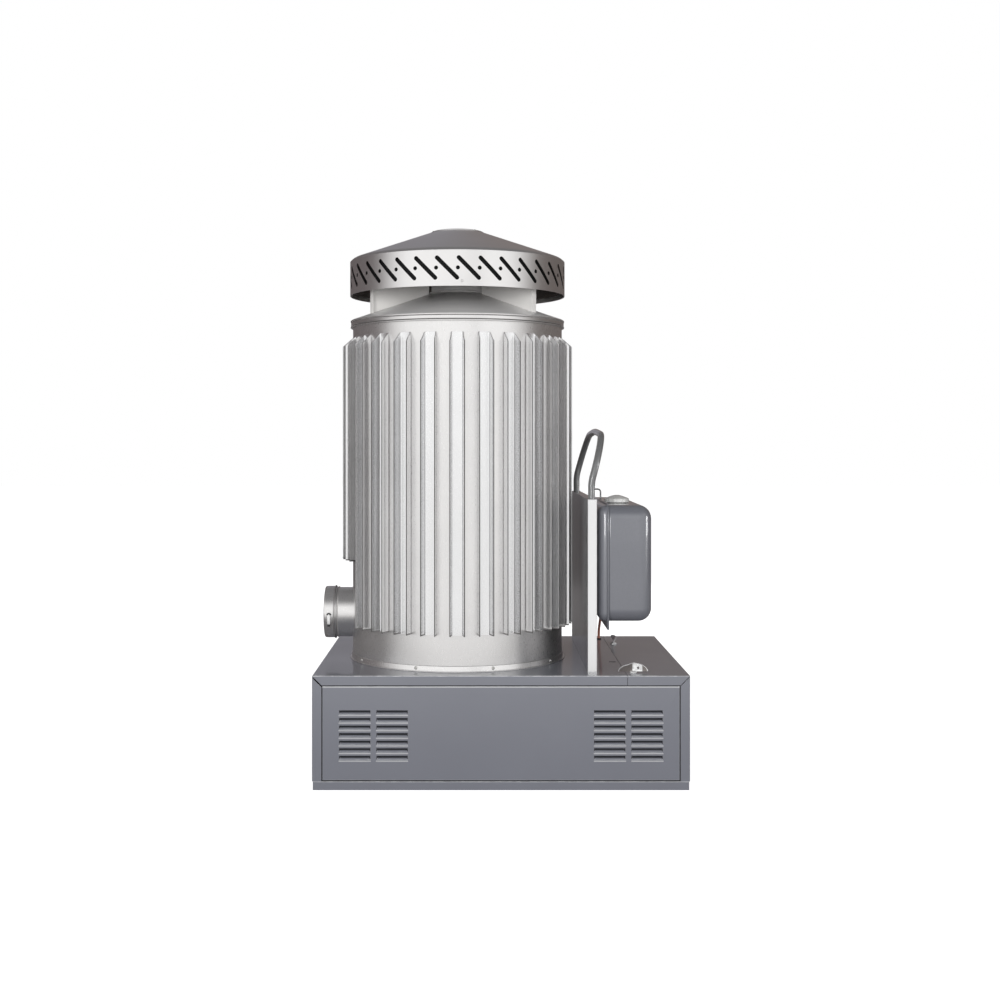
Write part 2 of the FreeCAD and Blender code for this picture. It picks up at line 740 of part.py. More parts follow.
blade = box(hub_r - blade_root, blade_r + past, -blade_w / 2, blade_w / 2, -blade_t / 2, blade_t / 2)
blade.rotate(Vector(0, 0, 0), Vector(1, 0, 0), blade_pitch)
blade.translate(Vector(axis_x, axis_y, hub_z + hub_h / 2))
sweep = upright(blade_r, hub_z - hub_h, hub_top + hub_h, axis_x, axis_y)
sweep = sweep.cut(upright(hub_r - blade_root / 2, hub_z - hub_h, hub_top + hub_h, axis_x, axis_y))
blade = blade.common(sweep)
blades = [spin(blade, n * 360.0 / blade_count, axis_x, axis_y) for n in range(blade_count)]
save("fan_wheel", hub.fuse(blades).removeSplitter())

# upright tank panel: hollow, open below, narrow edges a little inset
panel_x1 = panel_x + panel_t
panel_y1 = panel_y + panel_len
panel = box(panel_x, panel_x1, panel_y, panel_y1, top_z, panel_top)
hollow_x0 = panel_x + panel_wall
hollow_x1 = panel_x1 - panel_wall
hollow_top = panel_top - panel_wall
panel = panel.cut([box(hollow_x0, hollow_x1, panel_y + panel_wall + panel_recess,
                       panel_y1 - panel_wall - panel_recess, top_z, hollow_top),
                   box(hollow_x0, hollow_x1, panel_y, panel_y + panel_recess, top_z, hollow_top),
                   box(hollow_x0, hollow_x1, panel_y1 - panel_recess, panel_y1, top_z, hollow_top)])
handle_x = panel_x + panel_t / 2
leg_ys = (panel_y + handle_inset, panel_y1 - handle_inset)
panel = panel.cut([upright(handle_r + fit, hollow_top, panel_top, handle_x, y) for y in leg_ys])
save("tank_panel", panel)

# sockets inside the panel that hold the handle's legs
leg_z = hollow_top - leg_in
sockets = []
for y in leg_ys:
    socket = box(hollow_x0, hollow_x1, y - socket_d / 2, y + socket_d / 2,
                 hollow_top - socket_h, hollow_top)
    sockets.append(socket.cut(upright(handle_r + fit, leg_z, hollow_top, handle_x, y)))
save("handle_sockets", Part.makeCompound(sockets))

# carrying handle: bent tube, legs in the sockets
rise = handle_h - handle_up
bar_x = handle_x + math.tan(math.radians(handle_lean)) * rise
route = []
for y, order in ((leg_ys[0], 1), (leg_ys[1], -1)):
    part = [Vector(handle_x, y, leg_z), Vector(handle_x, y, panel_top + handle_up),
            Vector(bar_x, y, panel_top + handle_h)]
    route += part[::order]
save("handle_tube", rod(route, handle_bend, handle_r))

# tank: two pressed halves with a seam flange, square low corners on the flange
def half_shell(x_open, x_far, x_rim):
    low, high = sorted((x_open, x_far))
    skin_r = min(tank_r, high - low - tank_t * 2)
    skin = rounded_box(low, high, tank_y, tank_y1, tank_z, tank_top, skin_r, x_open)
    step = tank_t if x_far > x_open else -tank_t
    low, high = sorted((x_open, x_far - step))
    core = rounded_box(low, high, tank_y + tank_t, tank_y1 - tank_t, tank_z + tank_t, tank_top - tank_t,
                       min(tank_r, high - low - tank_t) - tank_t, x_open)
    low, high = sorted((x_open, x_rim))
    rim = box(low, high, tank_y - rim_w, tank_y1 + rim_w, tank_z - rim_low, tank_top + rim_w)
    across = [e for e in rim.Edges if abs(e.tangentAt(e.FirstParameter).x) > 0.9]
    rim = rim.makeFillet(tank_r + rim_w, [e for e in across if e.CenterOfMass.z > tank_z])
    return skin.fuse(rim).cut(core)


inner_half = half_shell(seam_tank, tank_x, seam_tank - rim_t)
outer_half = half_shell(seam_tank, seam_tank + outer_deep, seam_tank + rim_t)
filler_x = seam_tank + filler_in
filler_y = tank_y + filler_back
vent_x = seam_tank + vent_in
vent_y = tank_y1 - vent_back
outer_half = outer_half.cut([upright(filler_r + touch, tank_top - tank_r, tank_top, filler_x, filler_y),
                             upright(vent_r + fit, tank_top - tank_r, tank_top, vent_x, vent_y),
                             upright(line_r + fit, tank_z, tank_z + tank_r, line_gx, line_ty)])
save("tank_inner_half", inner_half.removeSplitter())
save("tank_outer_half", outer_half.removeSplitter())

# spacers between panel and tank
spacers = []
for y in (tank_y + spacer_in, tank_y1 - spacer_in - spacer_w):
    for z in (tank_z + spacer_in, tank_top - spacer_in - spacer_h):
        spacers.append(box(panel_x1, tank_x, y, y + spacer_w, z, z + spacer_h))
save("tank_spacers", Part.makeCompound(spacers))

# filler neck, its screw cap and the seal in the cap
neck_top = tank_top + filler_h
neck_foot = tank_top - filler_low
rim_out = filler_r + filler_rim
rim_top = tank_top + filler_rim_t
save("filler_neck", turned([(filler_r - filler_t, neck_foot), (filler_r, neck_foot), (filler_r, tank_top),
                            (rim_out, tank_top), (rim_out, rim_top), (filler_r, rim_top),
                            (filler_r, neck_top), (filler_r - filler_t, neck_top)], filler_x, filler_y))
cap_low = tank_top + cap_lift
cap_in = filler_r + touch
cap_out = filler_r + touch + cap_skin
roof = neck_top + touch + seal_t + touch / 2
cap_high = cap_low + cap_rim_h
save("cap_seal", upright(filler_r - seal_in, neck_top + touch, neck_top + touch + seal_t, filler_x, filler_y))
dome_out = cap_out - cap_edge
cap = turned([(cap_in, cap_low), (cap_out, cap_low), (cap_out, cap_high - cap_edge), (dome_out, cap_high),
              (dome_mid(dome_out, cap_dome, cap_high), (0, cap_high + cap_dome)), (0, roof), (cap_in, roof)],
             filler_x, filler_y)
save("filler_cap", cap)

# breather: small gooseneck on the tank top
vent_route = [Vector(vent_x, vent_y, tank_top - tank_t), Vector(vent_x, vent_y, tank_top + vent_h),
              Vector(vent_x - vent_reach, vent_y, tank_top + vent_h),
              Vector(vent_x - vent_reach, vent_y, tank_top + vent_bend)]
save("breather_pipe", rod(vent_route, vent_bend, vent_r))

# fuel outlet under the tank, copper line, grommet in the top plate
outlet_low = tank_z - outlet_fit_h
nut_z = tank_z - outlet_nut_h
stem_r = outlet_fit_r - outlet_step
outlet = turned([(line_r + fit, tank_z), (outlet_fit_r, tank_z), (outlet_fit_r, nut_z),
                 (stem_r, nut_z - outlet_step), (stem_r, outlet_low), (line_r + fit, outlet_low)],
                line_gx, line_ty)
save("outlet_fitting", outlet)
reg_top = reg_z + reg_h
half_way = (outlet_low + top_z) / 2
span = (outlet_low - top_z) / 4
line_route = [Vector(line_gx, line_ty, tank_z + tank_t * 2), Vector(line_gx, line_ty, half_way + span),
              Vector(line_gx, line_gy, half_way - span), Vector(line_gx, line_gy, reg_top + reg_boss / 2)]
save("fuel_line", rod(line_route, line_bend, line_r))
lip = grommet_r
waist = grommet_r - grommet_lip
lip_low = under_z - grommet_low
lip_high = top_z + grommet_high
save("fuel_grommet", turned([(line_r + fit, lip_low), (lip, lip_low), (lip, under_z), (waist, under_z),
                             (waist, top_z), (lip, top_z), (lip - grommet_edge, lip_high),
                             (line_r + fit, lip_high)], line_gx, line_gy))

# fuel regulator on its bracket, with the burner feed pipe
feed_from = Vector(line_gx, line_gy, 0) - feed_dir * feed_gap
reg_x0 = line_gx - reg_left
reg_y0 = line_gy - reg_front
boss_top = reg_top + reg_boss
reg_body = box(reg_x0, reg_x0 + reg_w, reg_y0, reg_y0 + reg_d, reg_z, reg_top)
reg_body = reg_body.makeFillet(reg_round, upright_edges(reg_body))
bosses = []
bores = []
for x, y, r in ((line_gx, line_gy, line_r), (feed_from.x, feed_from.y, feed_r)):
    boss_r = r + boss_wall
    boss_low = reg_top - boss_edge
    bosses.append(turned([(0, boss_low), (boss_r, boss_low), (boss_r, boss_top - boss_edge),
                          (boss_r - boss_edge, boss_top), (0, boss_top)], x, y))
    bores.append(upright(r + fit, reg_top + reg_boss / 2, boss_top, x, y))
save("fuel_regulator", reg_body.fuse(bosses).cut(bores).removeSplitter())
reg_x1 = reg_x0 + reg_w
stand = drawn([(reg_x0, sheet), (reg_x1, sheet), (reg_x1, sheet * 2), (reg_x0 + sheet, sheet * 2),
               (reg_x0 + sheet, reg_z - sheet), (reg_x1, reg_z - sheet), (reg_x1, reg_z),
               (reg_x0, reg_z)], reg_y0, reg_y0 + reg_d)
save("regulator_bracket", stand)
feed_route = [Vector(feed_from.x, feed_from.y, reg_top + reg_boss / 2),
              Vector(feed_from.x, feed_from.y, pipe_z), Vector(feed_at.x, feed_at.y, pipe_z),
              Vector(feed_at.x, feed_at.y, seat_z + pot_t)]
save("feed_pipe", rod(feed_route, feed_bend, feed_r))

# control box on the right side panel, power inlet in the rear panel
box_x1 = side_x - sheet
control = box(box_x1 - box_w, box_x1, -box_d / 2, box_d / 2, box_z, box_z + box_h)
control = control.makeFillet(box_round, [e for e in control.Edges if e.CenterOfMass.x < box_x1 - fit])
save("control_box", control)
inlet_half = inlet_w / 2
inlet_z0 = inlet_z - inlet_h / 2
inlet_z1 = inlet_z + inlet_h / 2
inlet_in = rear_out - inlet_d
inlet = box(inlet_x - inlet_half, inlet_x + inlet_half, inlet_in, rear_out, inlet_z0, inlet_z1)
rim_half = inlet_half + inlet_rim
inlet_face = box(inlet_x - rim_half, inlet_x + rim_half, rear_out, back_y,
                 inlet_z0 - inlet_rim_z, inlet_z1 + inlet_rim_z)
well_half = inlet_half - inlet_wall
well_y = inlet_in + inlet_floor
well = box(inlet_x - well_half, inlet_x + well_half, well_y, back_y,
           inlet_z0 + inlet_wall, inlet_z1 - inlet_wall)
prongs = []
for x in (inlet_x - prong_step, inlet_x, inlet_x + prong_step):
    prongs.append(box(x - prong_w / 2, x + prong_w / 2, well_y, rear_out - prong_low,
                      inlet_z - prong_h / 2, inlet_z + prong_h / 2))
save("power_inlet", inlet.fuse(inlet_face).cut(well).fuse(prongs).removeSplitter())
print("parts written")
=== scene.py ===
import bmesh
import bpy
import math
from mathutils import Matrix, Vector


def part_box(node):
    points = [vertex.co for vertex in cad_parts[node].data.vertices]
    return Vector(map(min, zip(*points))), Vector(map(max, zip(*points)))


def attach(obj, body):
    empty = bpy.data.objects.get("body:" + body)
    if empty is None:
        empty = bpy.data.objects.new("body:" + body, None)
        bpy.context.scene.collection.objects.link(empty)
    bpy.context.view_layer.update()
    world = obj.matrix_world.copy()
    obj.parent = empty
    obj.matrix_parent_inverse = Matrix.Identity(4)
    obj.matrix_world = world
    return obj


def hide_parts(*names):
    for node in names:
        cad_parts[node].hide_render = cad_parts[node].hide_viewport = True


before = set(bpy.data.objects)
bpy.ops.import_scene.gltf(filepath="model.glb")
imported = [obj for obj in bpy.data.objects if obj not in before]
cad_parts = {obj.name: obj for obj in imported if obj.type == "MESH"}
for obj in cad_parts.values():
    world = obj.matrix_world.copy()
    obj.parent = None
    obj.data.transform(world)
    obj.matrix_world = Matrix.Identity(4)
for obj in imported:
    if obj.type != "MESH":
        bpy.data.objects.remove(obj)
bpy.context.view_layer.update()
scene = bpy.context.scene
up = Vector((0, 0, 1))
toLeft = Vector((-1, 0, 0))
toFront = Vector((0, -1, 0))
toBack = Vector((0, 1, 0))
fullTurn = 2 * math.pi
looks = {}
glossy = bpy.data.collections.new("glossyPieces")  # the glints reach only these


def report(text):
    print("heater scene:", text)


def toMesh(bm, name):
    mesh = bpy.data.meshes.new(name)
    bm.to_mesh(mesh)
    bm.free()
    return mesh


# camera, floor and light
view = {
    "place": (-0.0582, -3.5508, 0.8089),  # level, looking along +Y
    "lens": 50.53,
    "sensor": 36.0,
    "shift": (0.0243, -0.0617),
}
studio = {
    "floorSize": 40.0,
    "floorTone": (0.60, 0.60, 0.60),
    "floorSeen": (0.97, 0.97, 0.97),  # glow that the camera sees
    "floorBounce": (0.14, 0.135, 0.135),
    "floorShade": (0.06, 0.055, 0.055),
    "floorLit": (0.92, 0.92, 0.915),  # in front of the heater, seen in the metal
    "floorLitSpan": (-0.45, -2.2),
    "frontTone": (1.18, 1.18, 1.175),
    "frontSpan": (0.15, -0.65),  # each span goes from nothing to all of a tone
    "gapTone": (0.94, 0.94, 0.94),  # darker strip between the two front softboxes
    "gapAt": 0.33,
    "gapHalf": 0.10,
    "backLeft": (0.32, 0.31, 0.34),
    "backRight": (0.25, 0.212, 0.202),
    "backSplit": (-0.08, 0.1),
    "backSpan": (0.1, 0.5),
    "backWide": (0.36, 0.04),
    "leftTone": (0.125, 0.105, 0.106),
    "rightTone": (0.135, 0.112, 0.103),
    "sideSplit": (-0.2, 0.2),
    "topTone": (0.17, 0.168, 0.172),
    "topSpan": (0.42, 0.85),
    "softShare": 0.4,  # how much the surround counts for matt surfaces
    "lamps": {  # place, width and power
        "key": ((-1.3, -3.9, 1.35), 1.6, 48.0),
        "fill": ((1.3, -3.9, 1.25), 1.6, 44.0),
        "rearLeft": ((-1.2, 4.0, 1.4), 1.6, 22.0),
        "rearRight": ((1.2, 4.0, 1.4), 1.6, 22.0),
        "sideLeft": ((-4.0, 0.7, 0.9), 1.6, 26.0),  # behind the front faces
        "sideRight": ((4.0, 0.7, 0.9), 1.6, 26.0),
        "rightGlint": ((3.3, -0.9, 0.87), 0.72, 20.0),  # seen only in glossy paint
        "leftGlint": ((-0.8, -3.1, 0.80), 0.50, 13.0),
    },
    "aim": (-0.05, 0.0, 0.7),
}


def setCamera():
    data = bpy.data.cameras.new("photoCamera")
    data.lens = view["lens"]
    data.sensor_width = view["sensor"]
    data.shift_x, data.shift_y = view["shift"]
    data.clip_end = 100.0
    camera = bpy.data.objects.new("photoCamera", data)
    camera.location = view["place"]
    camera.rotation_euler = (math.radians(90), 0, 0)
    scene.collection.objects.link(camera)
    scene.camera = camera


def nodeIn(tree, kind, **settings):
    node = tree.nodes.new(kind)
    for name, value in settings.items():
        setattr(node, name, value)
    return node


def product(tree, first, second, **settings):
    node = nodeIn(tree, "ShaderNodeMath", operation="MULTIPLY", **settings)
    tree.links.new(first, node.inputs[0])
    tree.links.new(second, node.inputs[1])
    return node.outputs[0]


def mixColor(tree, mask, first, second):
    mix = nodeIn(tree, "ShaderNodeMix", data_type="RGBA")
    for socket, value in ((mix.inputs[0], mask), (mix.inputs[6], first), (mix.inputs[7], second)):
        if isinstance(value, tuple):
            socket.default_value = (*value, 1.0)
        else:
            tree.links.new(value, socket)
    return mix.outputs[2]


def mapRange(tree, value, span, result=(0.0, 1.0), smooth=True):
    node = nodeIn(tree, "ShaderNodeMapRange")
    node.interpolation_type = "SMOOTHSTEP" if smooth else "LINEAR"
    tree.links.new(value, node.inputs["Value"])
    for name, number in zip(("From Min", "From Max", "To Min", "To Max"), (*span, *result)):
        node.inputs[name].default_value = number
    return node.outputs["Result"]


def setSurround():
    scene.view_settings.view_transform = "Standard"
    world = bpy.data.worlds.new("softStudio")
    scene.world = world
    world.use_nodes = True
    tree = world.node_tree
    background = tree.nodes["Background"]
    coords = nodeIn(tree, "ShaderNodeTexCoord")
    split = nodeIn(tree, "ShaderNodeSeparateXYZ")
    tree.links.new(coords.outputs["Generated"], split.inputs[0])
    x, y, z = split.outputs
    sideways = nodeIn(tree, "ShaderNodeMath", operation="ABSOLUTE")
    tree.links.new(x, sideways.inputs[0])
    inGap = nodeIn(tree, "ShaderNodeMath", operation="COMPARE")
    tree.links.new(x, inGap.inputs[0])
    inGap.inputs[1].default_value = studio["gapAt"]
    inGap.inputs[2].default_value = studio["gapHalf"]
    front = mixColor(tree, inGap.outputs[0], studio["frontTone"], studio["gapTone"])
    back = mixColor(tree, mapRange(tree, x, studio["backSplit"]), studio["backLeft"], studio["backRight"])
    towardBack = product(tree, mapRange(tree, y, studio["backSpan"]),
                         mapRange(tree, sideways.outputs[0], studio["backWide"]))
    tone = mixColor(tree, mapRange(tree, x, studio["sideSplit"]), studio["leftTone"], studio["rightTone"])
    tone = mixColor(tree, mapRange(tree, y, studio["frontSpan"]), tone, front)
    tone = mixColor(tree, towardBack, tone, back)
    tone = mixColor(tree, mapRange(tree, z, studio["topSpan"]), tone, studio["topTone"])
    rays = nodeIn(tree, "ShaderNodeLightPath")
    tone = mixColor(tree, rays.outputs["Is Camera Ray"], tone, (1.0, 1.0, 1.0))
    tree.links.new(tone, background.inputs["Color"])
    share = mapRange(tree, rays.outputs["Is Diffuse Ray"], (0.0, 1.0), (1.0, studio["softShare"]), False)
    tree.links.new(share, background.inputs["Strength"])


def setLamps():
    for name, (place, width, power) in studio["lamps"].items():
        data = bpy.data.lights.new(name + "Light", "AREA")
        data.shape = "SQUARE"
        data.size = width
        data.energy = power
        lamp = bpy.data.objects.new(name + "Light", data)
        lamp.location = place
        aim = Vector(studio["aim"]) - lamp.location
        lamp.rotation_euler = aim.to_track_quat("-Z", "Y").to_euler()
        lamp.visible_glossy = "Glint" in name  # the surround gives the broad reflections
        if lamp.visible_glossy:
            lamp.visible_diffuse = False
            lamp.light_linking.receiver_collection = glossy
        scene.collection.objects.link(lamp)


def setFloor():
    bm = bmesh.new()
    bmesh.ops.create_grid(bm, x_segments=1, y_segments=1, size=studio["floorSize"] / 2)
    mesh = toMesh(bm, "studioFloor")
    floor = bpy.data.objects.new("studioFloor", mesh)
    scene.collection.objects.link(floor)
    floorLook = bpy.data.materials.new("paleFloor")
    floorLook.use_nodes = True
    tree = floorLook.node_tree
    shader = tree.nodes["Principled BSDF"]
    rays = nodeIn(tree, "ShaderNodeLightPath")
    coords = nodeIn(tree, "ShaderNodeTexCoord")
    split = nodeIn(tree, "ShaderNodeSeparateXYZ")
    tree.links.new(coords.outputs["Object"], split.inputs[0])
    ahead = mapRange(tree, split.outputs["Y"], studio["floorLitSpan"])
    sweep = mixColor(tree, ahead, studio["floorShade"], studio["floorLit"])
    glow = mixColor(tree, rays.outputs["Is Glossy Ray"], studio["floorShade"], sweep)
    glow = mixColor(tree, rays.outputs["Is Camera Ray"], glow, studio["floorSeen"])
    tree.links.new(glow, shader.inputs["Emission Color"])
    shader.inputs["Emission Strength"].default_value = 1.0
    base = mixColor(tree, rays.outputs["Is Camera Ray"], studio["floorBounce"], studio["floorTone"])
    tree.links.new(base, shader.inputs["Base Color"])
    shader.inputs["Roughness"].default_value = 0.8
    mesh.materials.append(floorLook)


setCamera()
setSurround()
setLamps()
setFloor()
report("camera and studio set")

# shared shader groups: sheet grain, worn rims with a painted highlight, and settled dust
grainDetail = {"Cloud": 3.0, "Grain": 2.0}
patches = {  # each span of noise or of looking up, with what it becomes
    "rimWearHighlight": {"scale": 55.0, "detail": 4.0, "noise": ((0.35, 0.65), (0.5, 1.0)),
                "upward": ((0.0, 0.4), (0.25, 1.0))},
    "settledDust": {"scale": 14.0, "detail": 5.0, "noise": ((0.4, 0.75), (0.0, 1.0)),
                    "upward": ((0.5, 1.0), (0.0, 1.0))},
}


def newGroup(name, inputs, outputs):
    group = bpy.data.node_groups.new(name, "ShaderNodeTree")
    for title, kind, value in inputs:
        socket = group.interface.new_socket(name=title, in_out="INPUT", socket_type="NodeSocket" + kind)
        if value is not None:
            socket.default_value = value
    for title in outputs:
        group.interface.new_socket(name=title, in_out="OUTPUT", socket_type="NodeSocketFloat")
    return group, group.nodes.new("NodeGroupInput"), group.nodes.new("NodeGroupOutput")


def makeGrain():
    group, start, end = newGroup(
        "sheetGrain",
        [("Vector", "Vector", None), ("Stretch", "Vector", (1, 1, 1)),
         ("Cloud Scale", "Float", 6.0), ("Grain Scale", "Float", 400.0)],
        grainDetail)
    stretch = nodeIn(group, "ShaderNodeVectorMath", operation="MULTIPLY")
    group.links.new(start.outputs["Vector"], stretch.inputs[0])
    group.links.new(start.outputs["Stretch"], stretch.inputs[1])
    places = {"Cloud": start.outputs["Vector"], "Grain": stretch.outputs[0]}
    for name, detail in grainDetail.items():
        noise = nodeIn(group, "ShaderNodeTexNoise")
        noise.inputs["Detail"].default_value = detail
        group.links.new(places[name], noise.inputs["Vector"])
        group.links.new(start.outputs[name + " Scale"], noise.inputs["Scale"])
        group.links.new(noise.outputs["Fac"], end.inputs[name])
    return group


def makePatches(name, onRims=False):
    # noise patches, stronger on faces that look up; on the rims they are wear and a painted highlight
    # together
    patch = patches[name]
    inputs = [("Vector", "Vector", None), ("Normal", "Vector", None), ("Amount", "Float", 0.1)]
    if onRims:
        inputs.append(("Rim", "Float", 0.0))
    group, start, end = newGroup(name, inputs, ["Mask"])
    split = nodeIn(group, "ShaderNodeSeparateXYZ")
    group.links.new(start.outputs["Normal"], split.inputs[0])
    noise = nodeIn(group, "ShaderNodeTexNoise")
    noise.inputs["Scale"].default_value = patch["scale"]
    noise.inputs["Detail"].default_value = patch["detail"]
    group.links.new(start.outputs["Vector"], noise.inputs["Vector"])
    mask = product(group, mapRange(group, noise.outputs["Fac"], *patch["noise"]),
                   mapRange(group, split.outputs["Z"], *patch["upward"]))
    if onRims:
        mask = product(group, mask, start.outputs["Rim"])
    mask = product(group, mask, start.outputs["Amount"], use_clamp=True)
    group.links.new(mask, end.inputs["Mask"])
    return group


grainGroup = makeGrain()
edgeWearHighlightGroup = makePatches("rimWearHighlight", onRims=True)
dustGroup = makePatches("settledDust")

# each look: two tones, shine, grain, and rim wear with a painted highlight
finishes = {
    "cabinetPaint": {
        "tone": (0.251, 0.260, 0.300), "deep": (0.241, 0.250, 0.289), "shine": (0.30, 0.34),
        "grain": 1300.0, "bump": 0.006, "coat": 0.6, "coatRough": 0.05, "dust": 0.05, "edgeWearHighlight": 1.0,
        "edgeWearHighlightTone": (0.80, 0.81, 0.83)},
    "tankPaint": {
        "tone": (0.200, 0.207, 0.236), "deep": (0.194, 0.201, 0.229), "shine": (0.26, 0.30),
        "grain": 1300.0, "bump": 0.004, "coat": 0.9, "coatRough": 0.03, "dust": 0.05, "edgeWearHighlight": 0.3,
        "edgeWearHighlightTone": (0.42, 0.43, 0.46)},
    # painted highlight for the louvre lips and the panel's top bend
    "lipHighlightPaint": {
        "tone": (0.62, 0.63, 0.65), "deep": (0.58, 0.59, 0.61), "shine": (0.30, 0.34), "grain": 1300.0,
        "bump": 0.006, "coat": 0.5, "coatRough": 0.05},
    # painted shade for recesses and open gaps
    "recessShadePaint": {
        "tone": (0.050, 0.052, 0.060), "deep": (0.040, 0.042, 0.048), "shine": (0.45, 0.55),
        "grain": 900.0, "bump": 0.01},
    "satinSteel": {
        "tone": (0.80, 0.79, 0.785), "deep": (0.75, 0.74, 0.735), "metal": 0.9, "shine": (0.27, 0.30),
        "stretch": (1, 1, 0.1), "grain": 900.0, "bump": 0.0012, "edgeWearHighlight": 0.2,
        "edgeWearHighlightTone": (0.88, 0.88, 0.88)},
    "hoodSteel": {
        "tone": (0.80, 0.79, 0.785), "deep": (0.75, 0.74, 0.735), "metal": 0.95, "shine": (0.29, 0.32),
        "stretch": (1, 1, 0.1), "grain": 900.0, "bump": 0.0012, "edgeWearHighlight": 0.2,
        "edgeWearHighlightTone": (0.86, 0.86, 0.86)},
    # a lighter, more diffuse copy of the hood steel: painted light for the cone and neck under the hood
    "coneLitSteel": {
        "tone": (0.87, 0.86, 0.855), "deep": (0.83, 0.82, 0.815), "metal": 0.15, "shine": (0.30, 0.34),
        "grain": 900.0, "bump": 0.002, "edgeWearHighlight": 0.2, "edgeWearHighlightTone": (0.86, 0.86, 0.86)},
    # painted shade for the inside and underside of the hood
    "hoodInsideShade": {
        "tone": (0.085, 0.075, 0.072), "deep": (0.055, 0.049, 0.047), "metal": 0.3, "shine": (0.5, 0.6),
        "cloud": 12.0, "grain": 500.0, "bump": 0.02},
    "finSheet": {
        "tone": (0.82, 0.82, 0.825), "deep": (0.79, 0.79, 0.795), "metal": 0.85, "shine": (0.20, 0.22),
        "stretch": (1, 1, 0.05), "grain": 900.0, "bump": 0.0006, "edgeWearHighlight": 0.2,
        "edgeWearHighlightTone": (0.9, 0.9, 0.9)},
    # painted shade: dark lines at fin leg ends, pressed lines and band flanks
    "shadeLine": {
        "tone": (0.11, 0.105, 0.105), "deep": (0.075, 0.072, 0.072), "metal": 0.6, "shine": (0.45, 0.6),
        "cloud": 25.0, "grain": 900.0, "bump": 0.02},
    # painted shade at the feet of the fin legs
    "finFootShade": {
        "tone": (0.27, 0.265, 0.265), "deep": (0.22, 0.215, 0.215), "metal": 0.85, "shine": (0.24, 0.30),
        "cloud": 25.0, "grain": 900.0, "bump": 0.004},
    "panelSheet": {
        "tone": (0.58, 0.58, 0.59), "deep": (0.54, 0.54, 0.55), "metal": 1.0, "shine": (0.20, 0.23),
        "stretch": (1, 1, 0.05), "grain": 900.0, "bump": 0.0012, "edgeWearHighlight": 0.2,
        "edgeWearHighlightTone": (0.85, 0.85, 0.85)},
    "creamPlate": {
        "tone": (0.97, 0.955, 0.93), "deep": (0.94, 0.925, 0.90), "shine": (0.42, 0.5), "grain": 500.0,
        "bump": 0.02},
    "handlePaint": {
        "tone": (0.185, 0.187, 0.190), "deep": (0.170, 0.172, 0.175), "shine": (0.26, 0.30),
        "grain": 900.0, "bump": 0.006, "coat": 1.0, "coatRough": 0.05},
    "zincPlate": {
        "tone": (0.84, 0.84, 0.81), "deep": (0.70, 0.70, 0.67), "metal": 1.0, "shine": (0.26, 0.4),
        "cloud": 60.0, "grain": 900.0, "bump": 0.02},
    "capZinc": {
        "tone": (0.90, 0.90, 0.88), "deep": (0.80, 0.80, 0.78), "metal": 0.25, "shine": (0.24, 0.34),
        "cloud": 60.0, "grain": 900.0, "bump": 0.01},
    "brightZinc": {
        "tone": (0.92, 0.92, 0.92), "deep": (0.84, 0.84, 0.84), "metal": 0.5, "shine": (0.14, 0.22),
        "cloud": 80.0, "grain": 900.0, "bump": 0.01},
    "shadeZinc": {
        "tone": (0.25, 0.225, 0.215), "deep": (0.21, 0.19, 0.18), "metal": 0.3, "shine": (0.24, 0.32),
        "cloud": 80.0, "grain": 900.0, "bump": 0.01},
    "copperTube": {
        "tone": (0.80, 0.36, 0.27), "deep": (0.70, 0.29, 0.21), "metal": 0.4, "shine": (0.28, 0.42),
        "cloud": 40.0, "grain": 600.0, "bump": 0.02},
    "turnedBrass": {
        "tone": (0.62, 0.45, 0.18), "deep": (0.48, 0.33, 0.12), "metal": 1.0, "shine": (0.25, 0.38),
        "cloud": 60.0, "grain": 900.0, "bump": 0.02},
    "blackRubber": {
        "tone": (0.030, 0.030, 0.031), "deep": (0.020, 0.020, 0.021), "shine": (0.62, 0.75),
        "cloud": 40.0, "grain": 700.0, "bump": 0.06},
    "mouldedPlastic": {
        "tone": (0.045, 0.045, 0.048), "deep": (0.034, 0.034, 0.036), "shine": (0.42, 0.55),
        "cloud": 30.0, "grain": 900.0, "bump": 0.05},
    "galvanised": {
        "tone": (0.56, 0.57, 0.58), "deep": (0.42, 0.43, 0.45), "metal": 1.0, "shine": (0.36, 0.52),
        "cloud": 70.0, "grain": 500.0, "bump": 0.02},
    "castIron": {
        "tone": (0.075, 0.072, 0.070), "deep": (0.045, 0.042, 0.040), "metal": 0.6, "shine": (0.6, 0.78),
        "cloud": 30.0, "grain": 350.0, "bump": 0.2},
    "heatTinted": {
        "tone": (0.42, 0.37, 0.31), "deep": (0.22, 0.20, 0.24), "metal": 1.0, "shine": (0.38, 0.55),
        "cloud": 9.0, "grain": 500.0, "bump": 0.03},
    "castAlloy": {
        "tone": (0.55, 0.55, 0.55), "deep": (0.42, 0.42, 0.42), "metal": 1.0, "shine": (0.42, 0.55),
        "cloud": 40.0, "grain": 350.0, "bump": 0.12},
    "motorPaint": {
        "tone": (0.035, 0.036, 0.038), "deep": (0.025, 0.026, 0.027), "shine": (0.35, 0.45),
        "grain": 300.0, "bump": 0.04, "coat": 0.3, "coatRough": 0.2},
    # painted shade: the black behind the skirt slots
    "shadeBlack": {
        "tone": (0.012, 0.012, 0.013), "deep": (0.006, 0.006, 0.007), "shine": (0.8, 0.9), "grain": 300.0,
        "bump": 0.02},
}
common = {"stretch": (1, 1, 1), "cloud": 6.0, "noiseSpan": (0.3, 0.7), "dustTone": (0.55, 0.53, 0.50),
          "bumpDeep": 0.001, "coatRough": 0.03}


def patchNode(tree, group, place, normal, amount):
    node = nodeIn(tree, "ShaderNodeGroup", node_tree=group)
    tree.links.new(place, node.inputs["Vector"])
    tree.links.new(normal, node.inputs["Normal"])
    node.inputs["Amount"].default_value = amount
    return node


